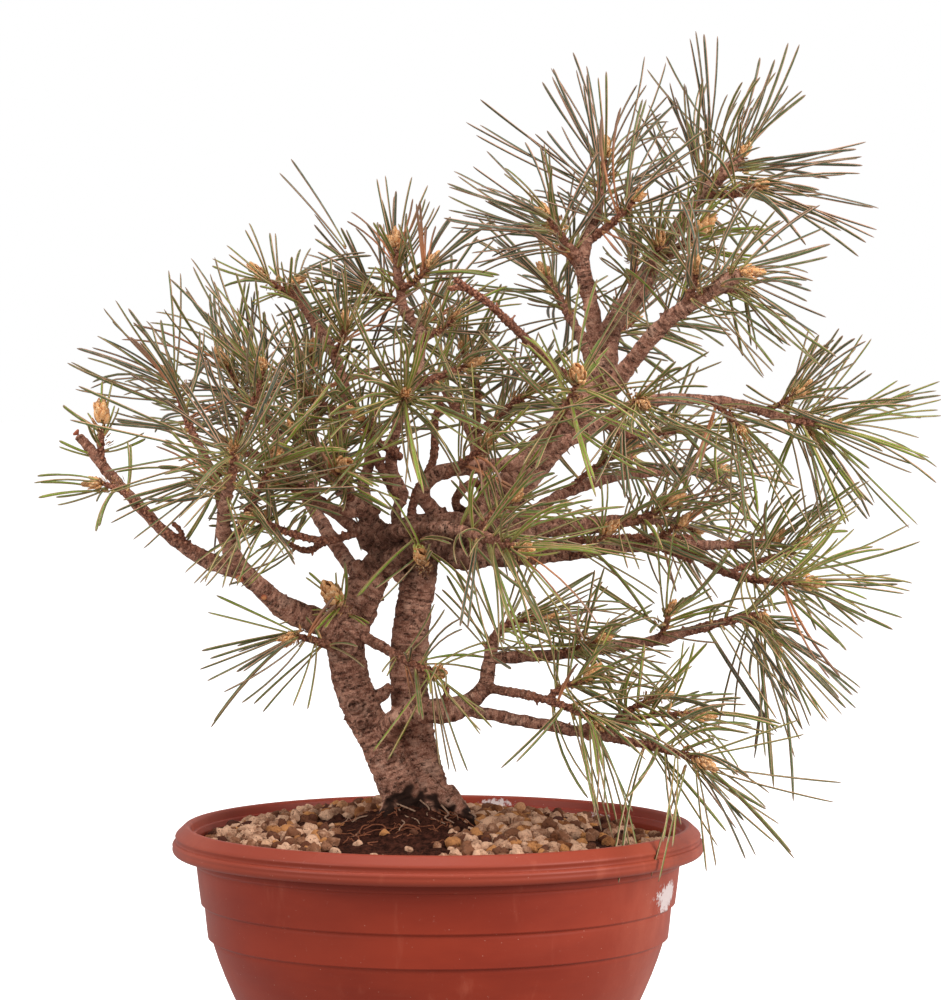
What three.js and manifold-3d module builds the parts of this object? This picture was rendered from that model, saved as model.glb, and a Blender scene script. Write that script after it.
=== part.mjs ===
// A pine bonsai in a round plastic training bowl. Millimetres, +Z up, +Y towards the back, and
// the origin is at the centre of the bowl's underside. The bowl is filled with soil and topped
// with grit, the tree stands in a mound of peat, and each shoot ends in a tuft of needles. The
// wood is divided where a limb leaves its parent, so that each solid is a simple one.
import * as THREE from 'three';
import { mergeVertices } from 'three/addons/utils/BufferGeometryUtils.js';
import Module from 'manifold-3d';

const wasm = await Module();
wasm.setup();

// ---- driving dimensions ----
const GAP = 0.35; // left between pieces that meet

const BOWL_HEIGHT = 145;
const RIM_RADIUS = 150; // over the widest part of the rim
const MOUTH_RADIUS = 140;
const BASE_RADIUS = 85;
const FLOOR = 3; // thickness of the floor
const BOWL_SIDES = 36; // facets round the bowl
const FILL_SIDES = 24; // and round what is in it
const DRAIN_RADIUS = 4;
const DRAIN_CIRCLE = 58;
const DRAIN_HOLES = 6;

const SOIL_TOP = 112; // the soil fill is level, and the grit lies on it
const GRIT_EDGE = 134; // grit at the wall
const GRIT_CROWN = 147; // grit at the middle
const MOUND_RADIUS = 44;
const MOUND_CROWN = 152.5;
const MOUND_FOOT = 134; // it is set this deep in the grit
const MOUND_CENTRE = [-14, -12];

const LIMB_SIDES = 6;
const LIMB_STEP = 20; // length of wood between two rings

const CORE_RADIUS = 3.5; // middle of a tuft, where the needles meet the shoot
const LEAN = 0.35; // how far needles lean along their shoot
const BARE_BACK = -0.55; // no needle points back along the shoot further than this cosine
const CLEAR_CORE = 1.35; // room that a tuft keeps from the next one, at its core
const CLEAR_REACH = 1.15; // and at its tips

// ---- wood: each limb is a list of [x, y, z, radius] along its middle ----
const WOOD = {
  left_trunk: [
    [
      [-11, -2, 132, 14], [-16, -3, 152, 12.5], [-29, -4, 183, 11], [-45, -5, 215, 10.5],
      [-52, -5, 243, 10.5], [-49, -4, 258, 11], [-40, -2, 277, 9.5], [-31, 0, 292, 7.5],
      [-22, 4, 303, 6],
    ],
  ],
  right_trunk: [
    [
      [2, 2, 132, 14], [-2, 2, 153, 12], [-10, 3, 180, 11], [-16, 4, 215, 11], [-16, 5, 249, 10.5],
      [-12, 6, 277, 10], [-8, 7, 298, 10], [6, 8, 307, 11], [22, 8, 313, 10],
    ],
  ],
  left_limb: [
    [
      [-50, -5, 250, 9], [-67, -9, 260, 8], [-84, -14, 267, 7.5], [-99, -21, 280, 7],
      [-111, -29, 294, 6.5], [-118, -40, 311, 6], [-117, -55, 328, 5], [-112, -72, 346, 3.5],
      [-110, -86, 359, 2.5],
    ],
    [
      [-108, -25, 288, 5], [-131, -18, 295, 5], [-154, -10, 311, 4.5], [-169, -3, 326, 4.5],
      [-183, 3, 340, 4], [-193, 6, 352, 4], [-203, 8, 364, 4],
    ],
    [
      [-113, -31, 292, 4], [-139, -34, 304, 3.5], [-158, -32, 318, 3], [-174, -28, 333, 2.5],
      [-186, -22, 338, 2],
    ],
    [[-188, 4, 344, 2.5], [-190, 5, 356, 2.5], [-189, 5, 369, 2]],
    [[-117, -46, 320, 4], [-127, -22, 346, 3.5], [-140, 4, 370, 3], [-150, 24, 393, 2.5]],
    [[-114, -52, 332, 3.5], [-121, -42, 336, 3], [-126, -36, 341, 2.5]],
  ],
  left_low_twig: [
    [[-54, -9, 243, 3.5], [-66, -16, 249, 3], [-78, -24, 253, 2]],
  ],
  crossing_twig: [
    [[-42, -10, 252, 4], [-28, -20, 245, 3.5], [-14, -31, 238, 3], [-2, -40, 234, 2.5]],
  ],
  hub_left_branch: [
    [
      [-22, 0, 300, 7], [-38, -6, 317, 6.5], [-52, -14, 334, 6], [-66, -22, 348, 5],
      [-78, -30, 364, 3],
    ],
    [
      [-50, -12, 332, 5], [-55, 0, 362, 5], [-53, 8, 392, 4.5], [-61, 13, 414, 4.5],
      [-72, 15, 431, 4.5], [-83, 14, 449, 4],
    ],
    [[-48, -12, 328, 3.5], [-52, -32, 339, 3], [-55, -46, 347, 2.5]],
    [[-40, -6, 312, 4], [-62, -18, 306, 3.5], [-84, -34, 312, 3], [-102, -50, 321, 2.5]],
  ],
  left_back_branch: [
    [
      [-38, 3, 280, 6], [-52, 24, 292, 5.5], [-70, 46, 318, 5], [-88, 60, 350, 4.5],
      [-102, 69, 380, 3.5], [-111, 75, 403, 2.5],
    ],
    [[-74, 49, 324, 4], [-72, 78, 338, 3.5], [-64, 104, 350, 3], [-58, 122, 356, 2.5]],
  ],
  center_branch: [
    [
      [-10, 4, 308, 7], [-19, 2, 339, 6.5], [-24, 0, 362, 6], [-19, -2, 382, 5.5],
      [-11, -1, 404, 5], [-10, 2, 422, 4.5], [-19, 5, 434, 4], [-22, 7, 450, 4],
      [-24, 8, 469, 3],
    ],
    [[-20, -3, 378, 3.5], [-19, -25, 384, 3], [-18, -46, 388, 2.5]],
    [[-11, 2, 414, 3.5], [-9, 30, 424, 3], [-8, 57, 430, 2.5]],
    [[-14, 0, 392, 3.5], [4, 5, 399, 3], [16, 8, 403, 2.5]],
  ],
  main_branch: [
    [
      [18, 8, 310, 11], [41, 5, 334, 10.5], [57, 0, 353, 10], [74, -4, 373, 9.5], [91, -4, 399, 9],
      [97, 4, 424, 8], [114, 14, 447, 7], [128, 19, 470, 6], [142, 19, 490, 5.5],
      [157, 15, 508, 5], [171, 11, 521, 4],
    ],
    [
      [92, -2, 404, 6], [86, -10, 436, 5.5], [81, -13, 466, 5], [90, -7, 494, 4], [94, -3, 519, 3],
    ],
    [[82, -13, 460, 3.5], [70, -20, 474, 3], [62, -24, 487, 2.5]],
    [[118, 16, 454, 3.5], [122, 4, 462, 3], [124, -6, 470, 2.5]],
  ],
  upper_front_branch: [
    [
      [92, -8, 384, 6.5], [112, -26, 411, 6], [128, -38, 430, 6], [147, -49, 443, 5.5],
      [166, -56, 455, 5],
    ],
  ],
  upper_inner_branch: [
    [[88, 2, 386, 5.5], [86, 32, 408, 5], [76, 58, 430, 4], [63, 89, 453, 3]],
    [
      [88, 8, 392, 4], [66, 4, 402, 3.5], [46, -14, 422, 3.5], [29, -34, 438, 3], [10, -48, 452, 2.5],
    ],
  ],
  loop_branch: [
    [
      [-6, -2, 312, 6.5], [-9, -22, 332, 6], [1, -33, 342, 6], [18, -36, 346, 6], [41, -34, 350, 6],
      [57, -30, 358, 5.5], [77, -27, 364, 5.5], [93, -28, 373, 5], [114, -31, 384, 5],
      [147, -25, 385, 4.5], [170, -15, 382, 4.5], [198, -5, 374, 4], [220, 4, 370, 3],
    ],
    [[60, -30, 360, 3.5], [68, -58, 376, 3], [76, -86, 396, 2.5]],
    [[96, -29, 375, 3.5], [104, -56, 380, 3], [110, -83, 386, 2.5]],
  ],
  front_branch: [
    [
      [-27, -2, 305, 5.5], [-21, -25, 312, 5], [1, -44, 315, 4.5], [21, -59, 312, 4],
      [35, -72, 308, 3.5], [45, -82, 305, 2.5],
    ],
  ],
  middle_branch: [
    [
      [14, 4, 298, 7.5], [34, 0, 294, 6.5], [69, 0, 297, 6], [102, 4, 301, 5.5],
      [136, 9, 302, 5], [170, 12, 302, 4.5], [188, 14, 303, 4],
    ],
    [[140, 8, 301, 4], [159, -8, 289, 4], [181, -25, 284, 3.5], [201, -37, 284, 2.5]],
  ],
  back_branch: [
    [
      [22, 12, 308, 6.5], [57, 34, 311, 5.5], [91, 54, 313, 4.5], [114, 64, 314, 4],
      [136, 76, 311, 3.5], [148, 84, 307, 2.5],
    ],
    [
      [40, 24, 310, 5], [66, 56, 326, 4.5], [97, 88, 336, 4.5], [121, 108, 339, 4],
      [148, 126, 339, 3], [166, 136, 338, 2.5],
    ],
    [[30, 18, 309, 4.5], [26, 42, 340, 4.5], [18, 66, 364, 4], [8, 86, 380, 3.5], [1, 105, 391, 2.5]],
  ],
  lower_limb: [
    [
      [-30, -8, 198, 8], [-20, -22, 207, 7], [-7, -27, 211, 7], [7, -28, 212, 7],
      [18, -27, 217, 6.5], [26, -26, 225, 6], [29, -26, 238, 5.5], [31, -26, 251, 4],
      [40, -28, 260, 3], [55, -31, 264, 2.5],
    ],
    [[28, -27, 224, 4], [50, -46, 222, 3.5], [69, -63, 218, 3], [84, -76, 212, 2.5]],
  ],
  lower_upper_branch: [
    [
      [29, -26, 240, 5.5], [52, -25, 242, 5], [80, -22, 244, 5], [102, -21, 248, 5],
      [125, -22, 251, 4.5], [147, -26, 258, 4], [178, -34, 266, 3.5],
    ],
  ],
  lower_front_branch: [
    [
      [12, -28, 213, 5.5], [35, -36, 209, 5], [57, -44, 206, 5], [74, -50, 203, 4.5],
      [93, -56, 200, 4], [116, -66, 196, 3.5], [142, -79, 191, 2.5],
    ],
    [[92, -56, 201, 3.5], [103, -58, 213, 3], [120, -62, 222, 2.5]],
  ],
};

// ---- needles: where each tuft sits, the way its shoot points, and how far its needles reach.
// far lists the tips of needles that stand out further than the rest.
const TUFTS = {
  outer_left_tuft: { at: [-189, 5, 371], along: [-0.3, 0, 0.9], reach: 42 },
  outer_left_low_tuft: { at: [-188, -21, 338], along: [-1, 0, 0], reach: 36, far: [[-226, -24, 334]] },
  left_high_tuft: { at: [-151, 26, 396], along: [-0.7, 0.1, 0.6], reach: 58 },
  left_front_tuft: { at: [-110, -88, 361], along: [-0.2, -0.8, 0.1], reach: 62 },
  left_mid_tuft: { at: [-128, -34, 343], along: [-0.6, -0.2, -0.5], reach: 52 },
  left_back_tuft: { at: [-112, 76, 406], along: [-0.2, 0.5, 0.8], reach: 62 },
  upper_left_tuft: { at: [-85, 13, 452], along: [-0.3, 0, 0.6], reach: 46 },
  left_inner_tuft: { at: [-79, -31, 367], along: [-0.4, -0.1, 0.7], reach: 56 },
  left_inner_front_tuft: { at: [-55, -48, 349], along: [0.3, -0.8, 0.1], reach: 50 },
  left_mid_front_tuft: { at: [-104, -52, 322], along: [-0.4, -0.5, -0.4], reach: 46 },
  left_low_tuft: { at: [-81, -26, 253], along: [-0.9, -0.2, -0.3], reach: 56 },
  left_far_back_tuft: { at: [-57, 125, 358], along: [0.1, 0.9, 0.3], reach: 58 },
  center_front_tuft: { at: [-18, -49, 389], along: [0, -0.8, 0.3], reach: 64 },
  crown_tuft: { at: [-24, 8, 472], along: [0, 0, 1], reach: 42, far: [[-86, 2, 515]] },
  center_back_tuft: { at: [-8, 60, 431], along: [0.1, 0.7, 0.7], reach: 60 },
  back_stem_tuft: { at: [0, 108, 393], along: [0, 0.9, 0.4], reach: 62, far: [[2, 176, 412]] },
  crossing_tuft: { at: [0, -42, 233], along: [0.3, -0.8, -0.2], reach: 42 },
  hub_tuft: { at: [-8, -42, 298], along: [0, -0.9, 0.2], reach: 42 },
  front_tuft: { at: [47, -84, 304], along: [0.6, -0.7, 0.2], reach: 60 },
  main_side_tuft: { at: [94, -3, 522], along: [0, 0, 1], reach: 62 },
  main_side_low_tuft: { at: [61, -25, 489], along: [-0.8, -0.2, 0.3], reach: 60 },
  top_tuft: { at: [173, 10, 523], along: [0.3, 0, 0.9], reach: 66, far: [[150, 6, 594]] },
  main_inner_tuft: { at: [125, -8, 473], along: [0, -0.5, 0.8], reach: 56 },
  upper_front_tuft: { at: [168, -57, 457], along: [0.8, -0.4, 0.1], reach: 56 },
  upper_back_tuft: { at: [62, 91, 455], along: [-0.3, 0.7, 0.5], reach: 62 },
  loop_front_tuft: { at: [77, -88, 398], along: [-0.1, -0.8, 0.5], reach: 62 },
  loop_side_tuft: { at: [111, -85, 386], along: [0.3, -0.8, -0.4], reach: 62 },
  loop_tip_tuft: { at: [223, 5, 370], along: [0.9, 0, 0.2], reach: 56, far: [[285, 2, 386]] },
  back_right_tuft: { at: [168, 137, 338], along: [0.6, 0.7, 0.1], reach: 54 },
  middle_tuft: { at: [191, 15, 304], along: [0.8, 0.2, 0.5], reach: 56 },
  fork_tuft: { at: [204, -38, 284], along: [0.9, -0.2, 0], reach: 54 },
  back_middle_tuft: { at: [150, 86, 306], along: [0.7, 0.6, 0], reach: 54 },
  lower_upper_tuft: { at: [181, -35, 266], along: [0.5, -0.2, -0.8], reach: 66 },
  lower_inner_tuft: { at: [58, -32, 265], along: [0.8, -0.2, 0.3], reach: 46 },
  lower_front_tuft: { at: [144, -80, 190], along: [0.5, -0.5, -0.6], reach: 56 },
  lower_side_tuft: { at: [122, -62, 223], along: [0.9, -0.2, 0.3], reach: 50 },
  lower_bud_tuft: { at: [86, -78, 211], along: [0.3, -0.8, -0.3], reach: 54 },
};

// ---- materials ----
const terracotta = () => new THREE.MeshStandardMaterial({ color: 0xa8492f, roughness: 0.45, metalness: 0 });
const peat = () => new THREE.MeshStandardMaterial({ color: 0x2b1a14, roughness: 0.95, metalness: 0 });
const pumice = () => new THREE.MeshStandardMaterial({ color: 0xb89a78, roughness: 0.9, metalness: 0 });
const bark = () => new THREE.MeshStandardMaterial({ color: 0x6b5142, roughness: 0.85, metalness: 0 });
const needle = () => new THREE.MeshStandardMaterial({ color: 0x4a6a42, roughness: 0.5, metalness: 0 });

// ---- solids ----
function toSolid(geometry) {
  const bare = geometry.clone();
  bare.deleteAttribute('normal');
  bare.deleteAttribute('uv');
  const merged = mergeVertices(bare, 1e-4);
  const mesh = new wasm.Mesh({
    numProp: 3,
    vertProperties: new Float32Array(merged.attributes.position.array),
    triVerts: new Uint32Array(merged.index.array),
  });
  return new wasm.Manifold(mesh);
}

function toGeometry(solid) {
  const mesh = solid.getMesh();
  const geometry = new THREE.BufferGeometry();
  geometry.setAttribute('position', new THREE.Float32BufferAttribute(mesh.vertProperties, 3));
  geometry.setIndex(new THREE.Uint32BufferAttribute(mesh.triVerts, 1));
  return geometry;
}

// The largest body of a cut solid: a cut can leave crumbs.
function mainBody(solid) {
  const bodies = solid.decompose();
  return bodies.reduce((best, body) => (body.volume() > best.volume() ? body : best));
}

function joined(solids) {
  return solids.reduce((whole, solid) => whole.add(solid));
}

// A round solid from its [radius, height] outline, which starts and ends on the axis.
function turned(outline, sides, centre = [0, 0]) {
  const points = outline.map(([radius, height]) => new THREE.Vector2(radius, height));
  const geometry = new THREE.LatheGeometry(points, sides);
  geometry.rotateX(Math.PI / 2);
  geometry.translate(centre[0], centre[1], 0);
  return toSolid(geometry);
}

// ---- bowl, soil, grit and mound ----
const WALL_OUTSIDE = [
  [BASE_RADIUS, 0], [97, 12], [107, 29], [114, 45], [121, 61], [127.5, 79], [130, 81],
  [132, 98.5], [134, 100.5], [136.4, 122], [137.6, 124], [138, 128.5],
];
const RIM = [
  [148, 128.5], [RIM_RADIUS, 131], [RIM_RADIUS, 134], [148.6, 136], [148, 140], [145, 144],
  [142.5, BOWL_HEIGHT], [MOUTH_RADIUS, 144], [MOUTH_RADIUS - 0.6, 139],
];

const WALL_INSIDE = [
  [BASE_RADIUS - 1, FLOOR], [95, 14.5], [112, 47], [127, 85], [135.4, 122], [137.4, 139],
];

function bowl() {
  const inside = [...WALL_INSIDE].reverse();
  const body = turned([[0, 0], ...WALL_OUTSIDE, ...RIM, ...inside, [0, FLOOR]], BOWL_SIDES);
  const holes = [];
  for (let i = 0; i < DRAIN_HOLES; i += 1) {
    const angle = (i * 2 * Math.PI) / DRAIN_HOLES;
    const hole = new THREE.CylinderGeometry(DRAIN_RADIUS, DRAIN_RADIUS, 4 * FLOOR, 8);
    hole.rotateX(Math.PI / 2);
    hole.translate(DRAIN_CIRCLE * Math.cos(angle), DRAIN_CIRCLE * Math.sin(angle), 0);
    holes.push(toSolid(hole));
  }
  return body.subtract(joined(holes));
}

// The fill keeps clear of the wall's facets as well as of the wall.
function soilFill() {
  const low = FLOOR + GAP;
  const side = WALL_INSIDE.slice(0, 4).map(([radius, height]) => [radius - 1.5, height]);
  side[0][1] = low;
  return turned([[0, low], ...side, [129.5, SOIL_TOP], [0, SOIL_TOP]], FILL_SIDES);
}

// Height of the grit's dome at a distance from the middle.
function gritHeight(radius, edge) {
  return GRIT_CROWN - (GRIT_CROWN - GRIT_EDGE) * (radius / edge) ** 2;
}

function gritLayer() {
  const edge = 134.5;
  const low = SOIL_TOP + GAP;
  const dome = [edge, 100, 55, 0].map((radius) => [radius, gritHeight(radius, edge)]);
  return turned([[0, low], [130, low], [132.8, 122], ...dome], FILL_SIDES);
}

function peatMound(grow = 0) {
  const edge = MOUND_RADIUS + grow;
  const foot = MOUND_FOOT - grow;
  const dome = [[edge, MOUND_CROWN - 9.5], [34, MOUND_CROWN - 3.5], [18, MOUND_CROWN], [0, MOUND_CROWN + 1]];
  const raised = dome.map(([radius, height]) => [radius, height + grow]);
  return turned([[0, foot], [edge, foot], ...raised], FILL_SIDES, MOUND_CENTRE);
}

// ---- wood ----
// A tapering tube through the points of a limb, wider by grow.
function limb(points, grow = 0) {
  const middle = new THREE.CatmullRomCurve3(
    points.map(([x, y, z]) => new THREE.Vector3(x, y, z)), false, 'centripetal',
  );
  const steps = Math.max(2, Math.round(middle.getLength() / LIMB_STEP));
  const rod = new THREE.CylinderGeometry(1, 1, 1, LIMB_SIDES, steps);
  const rings = limbRings(middle, points, steps, grow);
  const place = rod.attributes.position;
  for (let i = 0; i < place.count; i += 1) {
    const ring = rings[Math.round((place.getY(i) + 0.5) * steps)];
    const spot = ring.centre.clone()
      .addScaledVector(ring.normal, place.getX(i) * ring.radius)
      .addScaledVector(ring.binormal, place.getZ(i) * ring.radius);
    place.setXYZ(i, spot.x, spot.y, spot.z);
  }
  return toSolid(rod);
}

// Centre, radius and cross directions of each ring, turned as little as possible along the limb.
function limbRings(middle, points, steps, grow) {
  const rings = [];
  let tangent = middle.getTangent(0);
  const aside = Math.abs(tangent.z) > 0.8 ? new THREE.Vector3(0, 1, 0) : new THREE.Vector3(0, 0, 1);
  const normal = new THREE.Vector3().crossVectors(tangent, aside).normalize();
  for (let i = 0; i <= steps; i += 1) {
    const next = middle.getTangent(i / steps);
    normal.applyQuaternion(new THREE.Quaternion().setFromUnitVectors(tangent, next));
    tangent = next;
    const along = (i / steps) * (points.length - 1);
    const span = Math.min(Math.floor(along), points.length - 2);
    const radius = THREE.MathUtils.lerp(points[span][3], points[span + 1][3], along - span);
    const centre = middle.getPoint(i / steps);
    if (i === 0) centre.addScaledVector(tangent, -grow);
    if (i === steps) centre.addScaledVector(tangent, grow);
    rings.push({
      centre,
      radius: radius + grow,
      normal: normal.clone(),
      binormal: new THREE.Vector3().crossVectors(normal, tangent),
    });
  }
  return rings;
}

// ---- needles ----
// Each face of the core is drawn out to a needle that leans along the shoot.
function tuft({ at, along, reach, far = [] }, wide = 1, long = 1) {
  const core = new THREE.IcosahedronGeometry(CORE_RADIUS * wide, 0).attributes.position;
  const shoot = new THREE.Vector3(...along).normalize();
  const middle = new THREE.Vector3(...at).addScaledVector(shoot, CORE_RADIUS);
  const corners = [];
  const needles = [];
  for (let face = 0; face < core.count / 3; face += 1) {
    const [a, b, c] = [0, 1, 2].map((k) => new THREE.Vector3().fromBufferAttribute(core, 3 * face + k));
    const out = a.clone().add(b).add(c).normalize();
    if (out.dot(shoot) < BARE_BACK) {
      corners.push(a, b, c);
    } else {
      const uneven = 1 - 0.18 * (((face * 7) % 20) / 20);
      const tip = out.addScaledVector(shoot, LEAN).normalize().multiplyScalar(reach * uneven * long);
      needles.push(tip);
      corners.push(a, b, tip, b, c, tip, c, a, tip);
    }
  }
  far.forEach((end) => stretchNearest(needles, new THREE.Vector3(...end).sub(middle), long));
  const geometry = new THREE.BufferGeometry().setFromPoints(corners);
  geometry.translate(...middle);
  return toSolid(geometry);
}

// The needle that points closest to a far tip is the one that reaches it.
function stretchNearest(needles, end, long) {
  const closest = (best, tip) => (tip.angleTo(end) < best.angleTo(end) ? tip : best);
  needles.reduce(closest).copy(end).multiplyScalar(long);
}

// ---- the object ----
const bonsai = new THREE.Group();
bonsai.name = 'bonsai_in_bowl';
const placed = []; // every solid so far, with the room it keeps

function boxesMeet(a, b) {
  return [0, 1, 2].every((k) => a.min[k] < b.max[k] && b.min[k] < a.max[k]);
}

// Cut a solid back from all that is already there, and add it under its name.
function place(name, solid, room, material) {
  const box = solid.boundingBox();
  const near = placed.filter((other) => boxesMeet(other.boundingBox(), box));
  const cut = near.length ? solid.subtract(joined(near)) : solid;
  const mesh = new THREE.Mesh(toGeometry(mainBody(cut)), material);
  mesh.name = name;
  bonsai.add(mesh);
  placed.push(room);
}

const shell = bowl();
place('bowl', shell, shell, terracotta());
const fill = soilFill();
place('soil_fill', fill, fill, peat());

for (const [name, limbs] of Object.entries(WOOD)) {
  const wood = joined(limbs.map((points) => limb(points)));
  place(name, wood, joined(limbs.map((points) => limb(points, GAP))), bark());
}
place('peat_mound', peatMound(), peatMound(GAP), peat());
const grit = gritLayer();
place('grit_topping', grit, grit, pumice());

for (const [name, shape] of Object.entries(TUFTS)) {
  place(name, tuft(shape), tuft(shape, CLEAR_CORE, CLEAR_REACH), needle());
}

export default bonsai;
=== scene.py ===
"""A pine bonsai in a round plastic training bowl: bark, needles, grit and bowl round the frame.

Sizes are in millimetres in the tables and settings, and in metres once they are built.
"""

import math

import bmesh
import bpy
import numpy as np
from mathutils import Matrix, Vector, noise


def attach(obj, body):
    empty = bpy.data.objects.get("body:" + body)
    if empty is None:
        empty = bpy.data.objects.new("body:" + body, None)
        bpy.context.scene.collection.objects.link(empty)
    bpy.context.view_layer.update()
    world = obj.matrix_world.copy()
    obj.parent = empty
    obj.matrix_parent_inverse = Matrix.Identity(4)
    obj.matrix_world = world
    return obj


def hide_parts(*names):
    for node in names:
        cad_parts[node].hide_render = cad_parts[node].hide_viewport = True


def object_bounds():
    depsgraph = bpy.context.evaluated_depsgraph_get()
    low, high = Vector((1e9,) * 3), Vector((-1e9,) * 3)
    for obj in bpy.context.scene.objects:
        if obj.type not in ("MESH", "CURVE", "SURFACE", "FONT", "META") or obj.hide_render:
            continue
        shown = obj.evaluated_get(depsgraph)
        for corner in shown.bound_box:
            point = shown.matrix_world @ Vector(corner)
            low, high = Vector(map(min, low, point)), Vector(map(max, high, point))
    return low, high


bl_info = {
    "name": "Pine bonsai in a bowl",
    "version": (1, 0, 0),
    "blender": (4, 5, 0),
    "location": "3D View > Sidebar > Bonsai",
    "description": "Builds the bark, needles, grit and bowl of a potted pine bonsai",
    "category": "Object",
}

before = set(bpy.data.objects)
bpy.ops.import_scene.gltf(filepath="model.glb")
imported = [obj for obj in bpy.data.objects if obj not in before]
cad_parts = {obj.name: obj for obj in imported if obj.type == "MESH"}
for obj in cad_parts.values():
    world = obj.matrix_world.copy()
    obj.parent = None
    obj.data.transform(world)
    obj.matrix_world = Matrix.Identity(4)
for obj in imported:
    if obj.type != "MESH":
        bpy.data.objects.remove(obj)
FRAME_BOX = [[float(x) for x in corner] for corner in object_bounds()]
MM = 0.001
GOLDEN = math.pi * (3 - math.sqrt(5))
BODY = "root"

# ---------------------------------------------------------------- the tree's plan, in mm

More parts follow.
